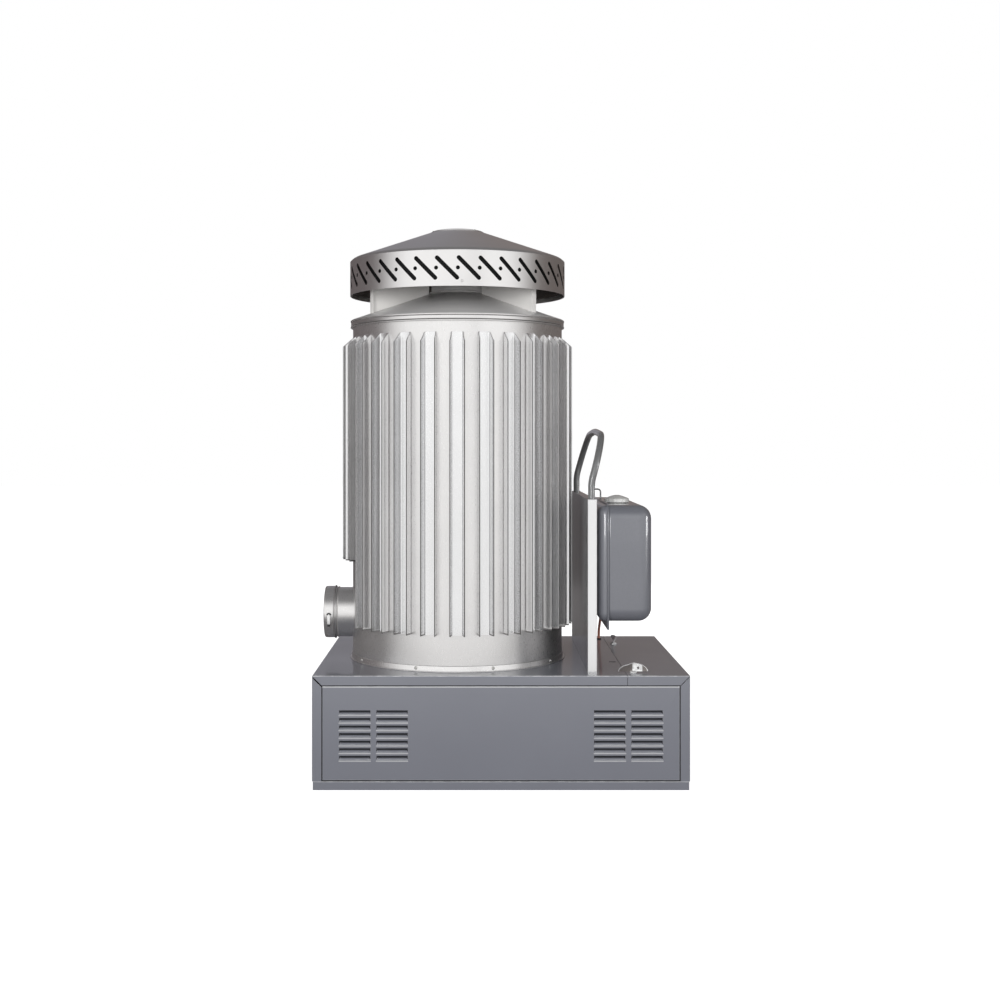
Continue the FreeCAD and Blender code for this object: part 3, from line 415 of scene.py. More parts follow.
def makeLook(name):
    finish = finishes[name]
    look = bpy.data.materials.new(name)
    look.use_nodes = True
    tree = look.node_tree
    shader = tree.nodes["Principled BSDF"]
    place = nodeIn(tree, "ShaderNodeTexCoord").outputs["Object"]
    normal = nodeIn(tree, "ShaderNodeNewGeometry").outputs["Normal"]
    grain = nodeIn(tree, "ShaderNodeGroup", node_tree=grainGroup)
    tree.links.new(place, grain.inputs["Vector"])
    grain.inputs["Stretch"].default_value = finish.get("stretch", common["stretch"])
    grain.inputs["Cloud Scale"].default_value = finish.get("cloud", common["cloud"])
    grain.inputs["Grain Scale"].default_value = finish["grain"]
    patch = mapRange(tree, grain.outputs["Cloud"], common["noiseSpan"], smooth=False)
    color = mixColor(tree, patch, finish["deep"], finish["tone"])
    if "dust" in finish:
        dust = patchNode(tree, dustGroup, place, normal, finish["dust"])
        color = mixColor(tree, dust.outputs["Mask"], color, common["dustTone"])
    # rim wear and painted highlight: bevelled rims, most of all those facing up, turn lighter
    if "edgeWearHighlight" in finish:
        edgeWearHighlight = patchNode(tree, edgeWearHighlightGroup, place, normal, finish["edgeWearHighlight"])
        rim = nodeIn(tree, "ShaderNodeAttribute", attribute_name="rim")
        tree.links.new(rim.outputs["Fac"], edgeWearHighlight.inputs["Rim"])
        color = mixColor(tree, edgeWearHighlight.outputs["Mask"], color, finish["edgeWearHighlightTone"])
    tree.links.new(color, shader.inputs["Base Color"])
    rough = mapRange(tree, grain.outputs["Grain"], common["noiseSpan"], finish["shine"], False)
    tree.links.new(rough, shader.inputs["Roughness"])
    bump = nodeIn(tree, "ShaderNodeBump")
    bump.inputs["Strength"].default_value = finish["bump"]
    bump.inputs["Distance"].default_value = common["bumpDeep"]
    tree.links.new(grain.outputs["Grain"], bump.inputs["Height"])
    tree.links.new(bump.outputs["Normal"], shader.inputs["Normal"])
    shader.inputs["Metallic"].default_value = finish.get("metal", 0.0)
    shader.inputs["Coat Weight"].default_value = finish.get("coat", 0.0)
    shader.inputs["Coat Roughness"].default_value = finish.get("coatRough", common["coatRough"])
    return look


for lookName in finishes:
    looks[lookName] = makeLook(lookName)
report("%d looks made" % len(looks))

# mesh helpers
softAngle = math.radians(32.0)  # flatter edges are shaded smooth
glossyLooks = ("tankPaint", "handlePaint")


def roundOff(bm, width, steps=3, angle=25.0, pick=None):
    rim = bm.faces.layers.float.get("rim") or bm.faces.layers.float.new("rim")
    limit = math.radians(angle)
    edges = [e for e in bm.edges if len(e.link_faces) == 2 and e.calc_face_angle(0.0) > limit]
    edges = [e for e in edges if pick is None or pick(e)]
    made = bmesh.ops.bevel(bm, geom=edges, offset=width, offset_type="OFFSET", segments=steps, profile=0.5,
                           affect="EDGES", clamp_overlap=True, material=-1, loop_slide=True)
    for face in made["faces"]:
        face[rim] = 1.0


def giveLook(bm, index, test):
    for face in bm.faces:
        if test(face):
            face.material_index = index


def allFaces(face):
    return True


def cutAcross(bm, place, direction, geom=None, clear=False):
    geom = geom or bm.verts[:] + bm.edges[:] + bm.faces[:]
    bmesh.ops.bisect_plane(bm, geom=geom, dist=1e-6, plane_co=place, plane_no=direction, clear_outer=clear)


def middleOf(edge):
    return (edge.verts[0].co + edge.verts[1].co) / 2


def levelOut(point, centre):
    return (point - centre) * Vector((1, 1, 0))


def addPiece(name, bm, body, look, node=None, more=()):
    for face in bm.faces:
        face.smooth = True
    for edge in bm.edges:
        edge.smooth = len(edge.link_faces) == 2 and edge.calc_face_angle(0.0) < softAngle
    mesh = toMesh(bm, name)
    for lookName in (look, *more):
        mesh.materials.append(looks[lookName])
    piece = bpy.data.objects.new(name, mesh)
    scene.collection.objects.link(piece)
    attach(piece, body)
    if node:
        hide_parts(node)
    if look in glossyLooks:
        glossy.objects.link(piece)
    return piece


def pieceName(node):
    return node.title().replace("_", "")


def copyNode(node):
    bm = bmesh.new()
    bm.from_mesh(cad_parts[node].data)
    bmesh.ops.remove_doubles(bm, verts=bm.verts, dist=0.00002)
    bmesh.ops.dissolve_limit(bm, angle_limit=math.radians(0.4), verts=bm.verts, edges=bm.edges)
    return bm


def spinRing(bm, points, centre, axis=up, steps=128, closed=True):
    side = axis.orthogonal().normalized()
    verts = [bm.verts.new(centre + side * r + axis * h) for r, h in points]
    edges = [bm.edges.new(pair) for pair in zip(verts, verts[1:])]
    if closed:
        edges.append(bm.edges.new((verts[-1], verts[0])))
    bmesh.ops.spin(bm, geom=verts + edges, cent=centre, axis=axis, angle=fullTurn, steps=steps,
                   use_merge=True)
    bmesh.ops.remove_doubles(bm, verts=bm.verts, dist=0.000002)
    bmesh.ops.recalc_face_normals(bm, faces=bm.faces)


def halfRing(bm, centre, reach, thick, sides, steps):
    before = set(bm.verts)
    start = Matrix.Translation(centre + Vector((reach, 0, 0)))
    ring = bmesh.ops.create_circle(bm, segments=sides, radius=thick, matrix=start)["verts"]
    loop = ring + [e for e in bm.edges if e.verts[0] in ring]
    bmesh.ops.spin(bm, geom=loop, cent=centre, axis=toFront, angle=math.pi, steps=steps)
    fresh = [v for v in bm.verts if v not in before]
    ends = [e for e in bm.edges if e.is_boundary and e.verts[0] not in before]
    bmesh.ops.holes_fill(bm, edges=ends)
    bmesh.ops.recalc_face_normals(bm, faces=[f for f in bm.faces if f.verts[0] not in before])
    return fresh


def bentTube(bm, points, bends, radius, sides=20, bendSteps=10):
    points = [Vector(p) for p in points]
    heading = (points[1] - points[0]).normalized()
    turn = up.rotation_difference(heading).to_matrix().to_4x4()
    start = Matrix.Translation(points[0]) @ turn
    verts = bmesh.ops.create_circle(bm, segments=sides, radius=radius, matrix=start)["verts"]
    edges = bm.edges[:]
    at = points[0]

    def run(end):
        made = bmesh.ops.extrude_edge_only(bm, edges=edges)["geom"]
        fresh = [g for g in made if isinstance(g, bmesh.types.BMVert)]
        bmesh.ops.translate(bm, verts=fresh, vec=end - at)
        return fresh, [g for g in made if isinstance(g, bmesh.types.BMEdge)]

    for corner, after, bend in zip(points[1:], points[2:], bends):
        leaving = (after - corner).normalized()
        angle = heading.angle(leaving)
        reach = bend * math.tan(angle / 2)
        verts, edges = run(corner - heading * reach)
        at = corner - heading * reach
        axis = heading.cross(leaving).normalized()
        centre = at + axis.cross(heading) * bend
        made = bmesh.ops.spin(bm, geom=verts + edges, cent=centre, axis=axis, angle=angle, steps=bendSteps)
        verts = [g for g in made["geom_last"] if isinstance(g, bmesh.types.BMVert)]
        edges = [g for g in made["geom_last"] if isinstance(g, bmesh.types.BMEdge)]
        at = corner + leaving * reach
        heading = leaving
    run(points[-1])
    bmesh.ops.holes_fill(bm, edges=[e for e in bm.edges if e.is_boundary])
    bmesh.ops.recalc_face_normals(bm, faces=bm.faces)


def addBox(bm, low, high):
    low, high = Vector(low), Vector(high)
    made = bmesh.ops.create_cube(bm, size=1.0)
    bmesh.ops.scale(bm, vec=high - low, verts=made["verts"])
    bmesh.ops.translate(bm, vec=(low + high) / 2, verts=made["verts"])


def pasteMesh(bm, source):
    before = set(bm.verts)
    bm.from_mesh(source)
    return [v for v in bm.verts if v not in before]


def placeMesh(bm, source, place, outward):
    fresh = pasteMesh(bm, source)
    turn = up.rotation_difference(outward).to_matrix()
    bmesh.ops.rotate(bm, verts=fresh, cent=(0, 0, 0), matrix=turn)
    bmesh.ops.translate(bm, verts=fresh, vec=place)


def repeatRound(bm, source, count, centre, first=0.0, skip=()):
    for n in range(count):
        if n in skip:
            continue
        turn = Matrix.Rotation(first + n * fullTurn / count, 3, "Z")
        bmesh.ops.rotate(bm, verts=pasteMesh(bm, source), cent=centre, matrix=turn)


# screw and rivet heads: shares of the radius and of the height
stud = {
    "recessed": ((0.0, 0.45), (0.34, 0.5), (0.42, 1.0)),
    "domed": ((0.0, 1.0), (0.45, 0.93)),
    "side": ((0.72, 0.82), (0.93, 0.42), (1.0, 0.0), (0.0, 0.0)),
    "steps": 18,
}


def studMesh(radius, tall, middle="recessed"):
    points = [(r * radius, h * tall) for r, h in stud[middle] + stud["side"]]
    bm = bmesh.new()
    spinRing(bm, points, Vector((0, 0, 0)), steps=stud["steps"], closed=False)
    return toMesh(bm, "stud")


# places read from the frame
casingLow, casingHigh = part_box("outer_casing")
bodyAxis = Vector(((casingLow.x + casingHigh.x) / 2, (casingLow.y + casingHigh.y) / 2, 0))
casingR = (casingHigh.x - casingLow.x) / 2
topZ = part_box("top_plate")[1].z
panLow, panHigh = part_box("base_pan")
nearly = 0.0004  # less than any sheet's thickness


def levelOf(node):
    low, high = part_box(node)
    return low.z, high.z


def widthOf(node):
    low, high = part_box(node)
    return (high.x - low.x) / 2


def sideAt(turn):
    return Vector((math.sin(turn), -math.cos(turn), 0))


def sidesHit(point, low, high, axes):
    return sum(min(abs(point[n] - low[n]), abs(point[n] - high[n])) < nearly for n in axes)


# cabinet sheets: the frame's own sheets with rolled bends and softened edges
cabinet = {"bend": 0.0018, "edge": 0.00035, "bendSteps": 4, "panInset": 0.0022, "panRim": 0.0014,
           "mitreOpen": (0.0038, 0.0016), "cornerShare": 0.7, "flange": 0.0025, "mitreNear": 0.0015,
           "tipDeep": 0.008, "recess": (0.0015, 0.004), "panelIn": 0.0007, "panelUp": 0.0016,
           "panelFoot": 0.004, "panelLine": 0.0030, "gapShadeBack": 0.0008, "gapShadeDeep": 0.005,
           "gapShadePlay": 0.00015, "gapShadeRound": 0.0003}
louvre = {"bare": 0.0034, "skin": 0.0002, "reach": 0.009, "border": 0.01, "tilt": 0.3, "lipDown": 0.0017,
          "lipTall": 0.0030, "lipOut": 0.0012, "lipOver": 0.0012, "lipRoot": 0.001, "lipRound": 0.0011}


def sheetPiece(node, body, look, pick=None, bend=None, edge=None, more=(), bm=None):
    bm = bm or copyNode(node)
    if pick:
        roundOff(bm, bend or cabinet["bend"], cabinet["bendSteps"], 60.0, pick)
    roundOff(bm, edge or cabinet["edge"], 1, 40.0)
    piece = addPiece(pieceName(node), bm, body, look, node, more)
    even = piece.modifiers.new("evenNormals", "WEIGHTED_NORMAL")
    even.keep_sharp = True


def cornerBend(edge):
    return sidesHit(middleOf(edge), panLow, panHigh, (0, 1)) == 2


def topBend(edge):
    at = middleOf(edge)
    return abs(at.z - topZ) < nearly and sidesHit(at, panLow, panHigh, (0, 1)) == 1


def panRim(edge):
    at = middleOf(edge)
    atSide = abs(at.x) > panHigh.x * 0.99  # the pan is a little narrower than its node
    return abs(at.z - panHigh.z) < nearly and (atSide or sidesHit(at, panLow, panHigh, (1,)) > 0)


def makeSidePanels():
    # the mitres stand open, the left one more than the right
    for node, gapUp in zip(("left_side_panel", "right_side_panel"), cabinet["mitreOpen"]):
        bm = copyNode(node)
        low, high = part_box(node)
        front = low.y + cabinet["flange"]
        outerX, innerX = (low.x, high.x) if low.x < 0 else (high.x, low.x)
        innerZ = max(v.co.z for v in bm.verts if abs(v.co.x - innerX) < nearly and v.co.y < front)
        fall = (high.z - innerZ) / abs(outerX - innerX)
        slant = [v for v in bm.verts if v.co.y < front and abs(v.co.x - outerX) > nearly
                 and abs(v.co.z - innerZ - abs(innerX - v.co.x) * fall) < cabinet["mitreNear"]]
        bmesh.ops.translate(bm, verts=slant, vec=-up * gapUp)
        cutAcross(bm, (0, low.y + cabinet["tipDeep"], 0), toBack)
        tip = [v for v in bm.verts if v.co.y < front and abs(v.co.x - outerX) < cabinet["flange"]
               and v.co.z > high.z - nearly]
        bmesh.ops.translate(bm, verts=tip, vec=-up * gapUp * cabinet["cornerShare"])
        recessLow, recessHigh = (low.y + deep for deep in cabinet["recess"])
        # painted shade: the front end of the top return, seen through the open mitre, is dark
        giveLook(bm, 1, lambda f: recessLow < f.calc_center_median().y < recessHigh and f.normal.y < -0.5)
        sheetPiece(node, "heater", "cabinetPaint", cornerBend, more=("recessShadePaint",), bm=bm)


def markLouvres(bm, low, high):
    edgeY = low.y + louvre["bare"]
    border, tilt = louvre["border"], louvre["tilt"]

    def inLouvre(face):
        at = face.calc_center_median()
        inside = low.x + border < at.x < high.x - border and low.z + border < at.z < high.z - border
        return inside and low.y + louvre["skin"] < at.y < low.y + louvre["reach"]

    blades = [f for f in bm.faces if inLouvre(f) and f.normal.z > tilt and f.normal.y < -tilt]
    lips = bmesh.new()
    for blade in blades:
        xs = [v.co.x for v in blade.verts]
        head = min(v.co.z for v in blade.verts) - louvre["lipDown"]
        addBox(lips, (min(xs) - louvre["lipOver"], low.y - louvre["lipOut"], head - louvre["lipTall"]),
               (max(xs) + louvre["lipOver"], low.y + louvre["lipRoot"], head))
    roundOff(lips, louvre["lipRound"], 3, 60.0, lambda e: min(v.co.y for v in e.verts) < low.y)
    report("%d louvres" % len(blades))
    parts = [part for blade in blades for part in (blade, *blade.edges, *blade.verts)]
    cutAcross(bm, (0, edgeY, 0), toBack, geom=list(dict.fromkeys(parts)))
    # painted shade: the deep upper part of each louvre and its down-facing faces are dark
    giveLook(bm, 1, lambda f: inLouvre(f) and (f.calc_center_median().y > edgeY or f.normal.z < -tilt))
    return lips


def makeFrontPanel():
    low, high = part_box("front_panel")
    bm = copyNode("front_panel")
    lips = markLouvres(bm, low, high)
    inset = cabinet["panelIn"]
    middle = (low + high) / 2
    reach = high - middle
    bmesh.ops.translate(bm, vec=-middle, verts=bm.verts)
    bmesh.ops.scale(bm, vec=(1 - inset / reach.x, 1, 1 - inset / reach.z), verts=bm.verts)
    bmesh.ops.translate(bm, vec=middle, verts=bm.verts)
    low += Vector((inset, 0, inset))
    high -= Vector((inset, 0, inset))
    foot = [v for v in bm.verts if v.co.z < low.z + cabinet["panelFoot"]]
    bmesh.ops.translate(bm, verts=foot, vec=up * cabinet["panelUp"])
    low.z += cabinet["panelUp"]
    lineZ = high.z - cabinet["panelLine"]
    cutAcross(bm, (0, 0, lineZ), up)
    # painted highlight: the strip along the top bend is painted in the light lip paint
    giveLook(bm, 2, lambda f: f.calc_center_median().z > lineZ and f.normal.y < -0.5)

    def panelBend(edge):
        at = middleOf(edge)
        return abs(at.y - low.y) < nearly and sidesHit(at, low, high, (0, 2)) > 0

    sheetPiece("front_panel", "front_panel", "cabinetPaint", panelBend,
               more=("recessShadePaint", "lipHighlightPaint"), bm=bm)
    # painted highlight: the louvre lips are lighter than the panel
    addPiece("LouvreLips", lips, "front_panel", "lipHighlightPaint")
    return low, high


def makeGapShade(low, high):
    # black strips in the open line round the front panel: painted shade for the gap
    play = cabinet["gapShadePlay"]
    gap = low.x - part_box("left_side_panel")[1].x
    near, far = panLow.y + cabinet["gapShadeBack"], panLow.y + cabinet["gapShadeDeep"]
    left, right = low.x - gap + play, high.x + gap - play
    bm = bmesh.new()
    addBox(bm, (left, near, low.z), (low.x - play, far, high.z))
    addBox(bm, (high.x + play, near, low.z), (right, far, high.z))
    addBox(bm, (left, near, high.z + play), (right, far, high.z + gap - play))
    addBox(bm, (left, near, panHigh.z), (right, far, low.z - play))
    roundOff(bm, cabinet["gapShadeRound"], 2, 60.0)
    addPiece("PanelGapShade", bm, "heater", "blackRubber")


def makeCabinet():
    bm = copyNode("base_pan")
    bmesh.ops.scale(bm, vec=(1 - cabinet["panInset"] / panHigh.x, 1, 1), verts=bm.verts)
    sheetPiece("base_pan", "heater", "cabinetPaint", panRim, bend=cabinet["panRim"], bm=bm)
    makeSidePanels()
    sheetPiece("rear_panel", "heater", "cabinetPaint")
    sheetPiece("top_plate", "heater", "cabinetPaint", topBend)
    sheetPiece("service_cover", "service_cover", "cabinetPaint", topBend)
    low, high = makeFrontPanel()
    sheetPiece("cover_ledge", "heater", "galvanised")
    makeGapShade(low, high)


makeCabinet()
report("cabinet sheets done")

# round body: casing, base ring with its screws
body = {"ringWall": 0.002, "ringFoot": 0.006, "ringRound": 0.0006, "ringSteps": 192, "screwCount": 9,
        "screwTurn": -0.9, "screwR": 0.0040, "screwTall": 0.0024, "screwUp": 0.0080, "screwSeat": 0.9}


def makeBody():
    addPiece("CasingWall", copyNode("outer_casing"), "heater", "satinSteel", "outer_casing")
    low, high = levelOf("base_ring")
    footR = widthOf("base_ring")
    wallR = footR - body["ringFoot"]
    t = body["ringWall"]
    bm = bmesh.new()
    spinRing(bm, [(wallR, low), (footR, low), (footR, low + t), (wallR + t, low + t),
                  (wallR + t, high - t / 2), (wallR, high)], bodyAxis, steps=body["ringSteps"])
    roundOff(bm, body["ringRound"], 2)
    addPiece("BaseRing", bm, "heater", "satinSteel", "base_ring")
    bm = bmesh.new()
    place = bodyAxis + Vector((0, -wallR - t * body["screwSeat"], low + body["screwUp"]))
    placeMesh(bm, studMesh(body["screwR"], body["screwTall"]), place, toFront)
    screw = toMesh(bm, "ringScrew")
    bm = bmesh.new()
    first = math.radians(body["screwTurn"] - 180 / body["screwCount"])
    repeatRound(bm, screw, body["screwCount"], bodyAxis, first)
    addPiece("RingScrews", bm, "heater", "zincPlate")


# collar with its pressed lines, cone and outlet neck; the shapes are steps inward and upward
collar = {"tall": 0.018, "line": 0.004, "wall": 0.0022, "outlet": 0.066, "play": 0.0003, "steps": 192,
          "round": 0.0004, "shadeFrom": 0.001, "shadeTo": 0.0022,
          "lip": ((0.0006, 0.0), (0.0, 0.0008)),
          "groove": ((0.0002, -0.0012), (0.0030, -0.0008), (0.0030, 0.0008), (0.0012, 0.0013)),
          "shoulder": ((0.0012, -0.0056), (0.0028, -0.0051), (0.0028, -0.0040), (0.0, -0.0032),
                       (0.0, -0.0010), (0.0026, 0.0008))}
neck = {"wall": 0.002, "rimUp": 0.014, "rimSheet": 0.0015, "steps": 128,
        "fillet": ((-0.0012, 0.0026), (0.0, 0.005))}


def makeCollar():
    low, high = levelOf("lower_cone")
    rimR = widthOf("lower_cone")
    inR = casingR + collar["play"]
    coneZ = low + collar["tall"]
    outlet = collar["outlet"]
    slope = (high - coneZ) / (rimR - outlet)
    t = collar["wall"]
    points = [(inR, low)]
    for part, at in (("lip", low), ("groove", low + collar["line"]), ("shoulder", coneZ)):
        points += [(rimR - inward, at + rise) for inward, rise in collar[part]]
    points += [(outlet, high), (outlet, high - t), (inR, coneZ - t + (rimR - inR) * slope)]
    bm = bmesh.new()
    spinRing(bm, points, bodyAxis, steps=collar["steps"])
    roundOff(bm, collar["round"], 2, 20.0)

    def inPressedLine(face):
        out = levelOut(face.calc_center_median(), bodyAxis)
        pressed = inR + collar["shadeFrom"] < out.length < rimR - collar["shadeTo"]
        return pressed and face.normal.dot(out.normalized()) > 0.8

    # painted light: upward faces take the lighter cone steel
    giveLook(bm, 1, lambda f: f.normal.z > 0.6)
    # painted shade: the pressed lines are dark
    giveLook(bm, 2, inPressedLine)
    addPiece("CollarCone", bm, "heater", "hoodSteel", "lower_cone", ("coneLitSteel", "shadeLine"))


def makeNeck():
    low, high = levelOf("outlet_neck")
    rimR = widthOf("outlet_neck")
    outR = collar["outlet"] - collar["play"]
    inR = outR - neck["wall"]
    rimZ = low + neck["rimUp"]
    points = [(inR, low), (outR, low), (outR, rimZ), (rimR, rimZ), (rimR, rimZ + neck["rimSheet"])]
    points += [(outR - inward, rimZ + rise) for inward, rise in neck["fillet"]]
    points += [(outR, high), (inR, high)]
    bm = bmesh.new()
    spinRing(bm, points, bodyAxis, steps=neck["steps"])
    roundOff(bm, collar["round"], 2, 20.0)
    # painted light: the neck takes the lighter cone steel
    addPiece("OutletNeck", bm, "heater", "coneLitSteel", "outlet_neck")


makeBody()
makeCollar()
makeNeck()
report("round body done")

# heat fins: bent channels on the casing, legs cut on a slope at the top
fins = {"count": 26, "turn": 0.6, "web": 0.026, "flare": 0.001, "sheet": 0.0023, "bend": 0.0026,
        "bendSteps": 4, "play": 0.00015, "shortUp": 0.246, "bare": 0.040, "foot": 0.0035, "legEnd": 0.004,
        "hemDeep": 0.007, "hemOut": 0.0019, "edge": 0.0002}


def finMesh(low, high):
    outR = bodyAxis.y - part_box("heat_fins")[0].y
    inR = casingR + fins["play"]
    half = fins["web"] / 2
    hem = half + fins["flare"]
    tip = hem + fins["hemOut"]
    hemR = outR - fins["hemDeep"]
    footZ = low + fins["foot"]
    slope = 1 - fins["sheet"] / (outR - inR)
    bm = bmesh.new()
    line = [(-tip, -outR), (-hem, -hemR), (-half, -inR), (half, -inR), (hem, -hemR), (tip, -outR)]
    verts = [bm.verts.new((x, y, high + (y + inR) * slope)) for x, y in line]
    edges = [bm.edges.new(pair) for pair in zip(verts, verts[1:])]
    bmesh.ops.extrude_edge_only(bm, edges=edges)  # from the sloping top down to the foot
    for v in bm.verts[len(line):]:
        v.co.z = low
    bends = [e for e in bm.edges if len(e.link_faces) == 2]
    bmesh.ops.bevel(bm, geom=bends, offset=fins["bend"], offset_type="OFFSET", segments=fins["bendSteps"],
                    profile=0.5, affect="EDGES", clamp_overlap=True, material=-1)
    bmesh.ops.solidify(bm, geom=bm.faces[:], thickness=fins["sheet"])
    bmesh.ops.recalc_face_normals(bm, faces=bm.faces)

    def shadeLineFace(face):
        legEnd = face.normal.y < -0.85 and face.calc_center_median().y < -outR + fins["legEnd"]
        return legEnd or face.normal.z < -0.85

    # painted shade: the legs darken at their foot
    def shadedFoot(face):
        atFoot = face.material_index == 0 and face.calc_center_median().z < footZ
        return atFoot and abs(face.normal.x) > 0.7

    # painted shade: the leg ends and undersides take the dark shade line
    giveLook(bm, 1, shadeLineFace)
    cutAcross(bm, (0, 0, footZ), up)
    giveLook(bm, 2, shadedFoot)
    roundOff(bm, fins["edge"], 1, 50.0, lambda e: max(v.co.z for v in e.verts) > low + 0.001)
    bmesh.ops.translate(bm, verts=bm.verts, vec=bodyAxis)
    return toMesh(bm, "fin")


def makeFins():
    low, high = levelOf("heat_fins")
    flueLow, flueHigh = levelOf("flue_clamp")
    reach = math.asin(((flueHigh - flueLow) / 2 + fins["bare"]) / casingR)
    count, first = fins["count"], math.radians(fins["turn"])
    short = set()
    for n in range(count):
        fromFlue = abs((first + n * fullTurn / count - math.pi / 2) % fullTurn - math.pi)
        if fromFlue < reach:
            short.add(n)
    full = set(range(count)) - short
    bm = bmesh.new()
    repeatRound(bm, finMesh(low, high), count, bodyAxis, first, skip=short)
    repeatRound(bm, finMesh(topZ + fins["shortUp"], high), count, bodyAxis, first, skip=full)
    addPiece("HeatFins", bm, "heater", "finSheet", "heat_fins", ("shadeLine", "finFootShade"))


makeFins()
report("fins done")

# hood: slotted skirt, lid, cap, a black ring of painted shade behind the slots, brackets
hood = {"sheet": 0.002, "steps": 264, "slots": 33, "slotTurn": -4.5, "slotWide": 0.0100, "slotWay": 0.057,
        "slotTop": 0.020, "cutDeep": 0.012, "holeR": 0.0048, "holeTurn": 5.45, "unshadedFoot": 0.013,
        "rivetTurn": 3.0, "rivetUp": 0.0115, "rivetR": 0.0032, "rivetTall": 0.0016, "shadeUp": 0.029,
        "bracketEdge": 0.0003}
lid = {"edge": 0.007, "roll": 0.004, "rollSteps": 5, "lip": 0.0005, "lipUnder": 0.001, "under": 1.06,
       "steps": 192}
lidCap = {"lap": 0.006, "edge": 0.006, "play": 0.0003, "rim": 0.0013, "crown": 0.0005, "round": 0.0025,
          "steps": 128, "rivets": 3, "rivetTurn": 44.0, "rivetShare": 0.8}
slotShadeRing = {"inward": 0.009, "sheet": 0.0015, "below": 0.004, "steps": 128}


def lookInside(bm):
    # faces that look inward or down take the second look, a painted shade
    giveLook(bm, 1, lambda f: f.normal.dot(levelOut(f.calc_center_median(), bodyAxis).normalized())
             + f.normal.z < -0.5)


def skirtCutter(outR, midZ):
    wide, deep = hood["slotWide"], hood["cutDeep"]
    length = (hood["slotWay"] - wide) * math.sqrt(2) + wide
    place = bodyAxis + Vector((0, -outR, midZ))
    bm = bmesh.new()
    addBox(bm, (-length / 2, -deep, -wide / 2), (length / 2, deep, wide / 2))
    roundOff(bm, wide * 0.499, 5, 60.0, lambda e: abs(e.verts[0].co.y - e.verts[1].co.y) > deep)
    bmesh.ops.rotate(bm, verts=bm.verts, cent=(0, 0, 0), matrix=Matrix.Rotation(math.radians(45), 3, "Y"))
    bmesh.ops.translate(bm, verts=bm.verts, vec=place)
    slot = toMesh(bm, "slotCutter")
    bm = bmesh.new()
    stand = Matrix.Rotation(math.radians(90), 4, "X")
    bmesh.ops.create_cone(bm, cap_ends=True, segments=16, radius1=hood["holeR"], radius2=hood["holeR"],
                          depth=deep * 2, matrix=Matrix.Translation(place) @ stand)
    hole = toMesh(bm, "holeCutter")
    bm = bmesh.new()
    repeatRound(bm, slot, hood["slots"], bodyAxis, math.radians(hood["slotTurn"]))
    repeatRound(bm, hole, hood["slots"], bodyAxis, math.radians(hood["slotTurn"] + hood["holeTurn"]))
    bmesh.ops.recalc_face_normals(bm, faces=bm.faces)
    giveLook(bm, 1, allFaces)  # the cut walls take the same painted shade as the inside
    cutter = bpy.data.objects.new("skirtCutter", toMesh(bm, "skirtCutter"))
    for lookName in ("hoodSteel", "hoodInsideShade"):
        cutter.data.materials.append(looks[lookName])
    scene.collection.objects.link(cutter)
    return cutter


def makeSkirt():
    low, high = levelOf("hood_skirt")
    outR = widthOf("hood_skirt")
    inR = outR - hood["sheet"]
    unshadedZ = low + hood["unshadedFoot"]
    bm = bmesh.new()
    spinRing(bm, [(inR, low), (outR, low), (outR, high), (inR, high), (inR, unshadedZ)], bodyAxis,
             steps=hood["steps"])
    lookInside(bm)
    # the lowest strip inside keeps the plain steel, without the painted shade
    giveLook(bm, 0, lambda f: f.calc_center_median().z < unshadedZ)
    skirt = addPiece("HoodSkirt", bm, "heater", "hoodSteel", "hood_skirt", ("hoodInsideShade",))
    cutter = skirtCutter(outR, high + lid["edge"] - hood["slotTop"] - hood["slotWay"] / 2)
    cut = skirt.modifiers.new("slots", "BOOLEAN")
    cut.operation = "DIFFERENCE"
    cut.solver = "EXACT"
    cut.object = cutter
    graph = bpy.context.evaluated_depsgraph_get()
    punched = bpy.data.meshes.new_from_object(skirt.evaluated_get(graph))
    skirt.modifiers.clear()
    skirt.data = punched
    bpy.data.objects.remove(cutter)
    bm = bmesh.new()
    rivet = studMesh(hood["rivetR"], hood["rivetTall"], "domed")
    front = sideAt(math.radians(hood["rivetTurn"]))
    for outward in (front, -front):
        placeMesh(bm, rivet, bodyAxis + outward * outR + up * (low + hood["rivetUp"]), outward)
    addPiece("SkirtRivets", bm, "heater", "hoodSteel")


def lidLine():
    # the sloping sheet: height and radius of its edge, radius of its hole, slope
    low, high = levelOf("hood_lid")
    edgeZ = low + lid["edge"]
    edgeR = widthOf("hood_lid") - lid["edge"]
    holeR = widthOf("hood_cap") - lidCap["lap"]
    return edgeZ, edgeR, holeR, (high - edgeZ) / (edgeR - holeR)


def makeLid():
    low, high = levelOf("hood_lid")
    outR = widthOf("hood_lid")
    edgeZ, edgeR, holeR, slope = lidLine()
    t = hood["sheet"]
    bm = bmesh.new()
    spinRing(bm, [(outR - t, low), (outR, low), (outR, low + lid["lip"]), (edgeR, edgeZ), (holeR, high),
                  (holeR, high - t), (edgeR - t, edgeZ - t * lid["under"]),
                  (outR - t, low + lid["lipUnder"])], bodyAxis, steps=lid["steps"])

    def atEdge(edge):
        at = edge.verts[0].co
        return abs((at - bodyAxis).xy.length - edgeR) < 0.001 and at.z > edgeZ - 0.001

    roundOff(bm, lid["roll"], lid["rollSteps"], 20.0, atEdge)
    lookInside(bm)
    addPiece("HoodLid", bm, "heater", "hoodSteel", "hood_lid", ("hoodInsideShade",))


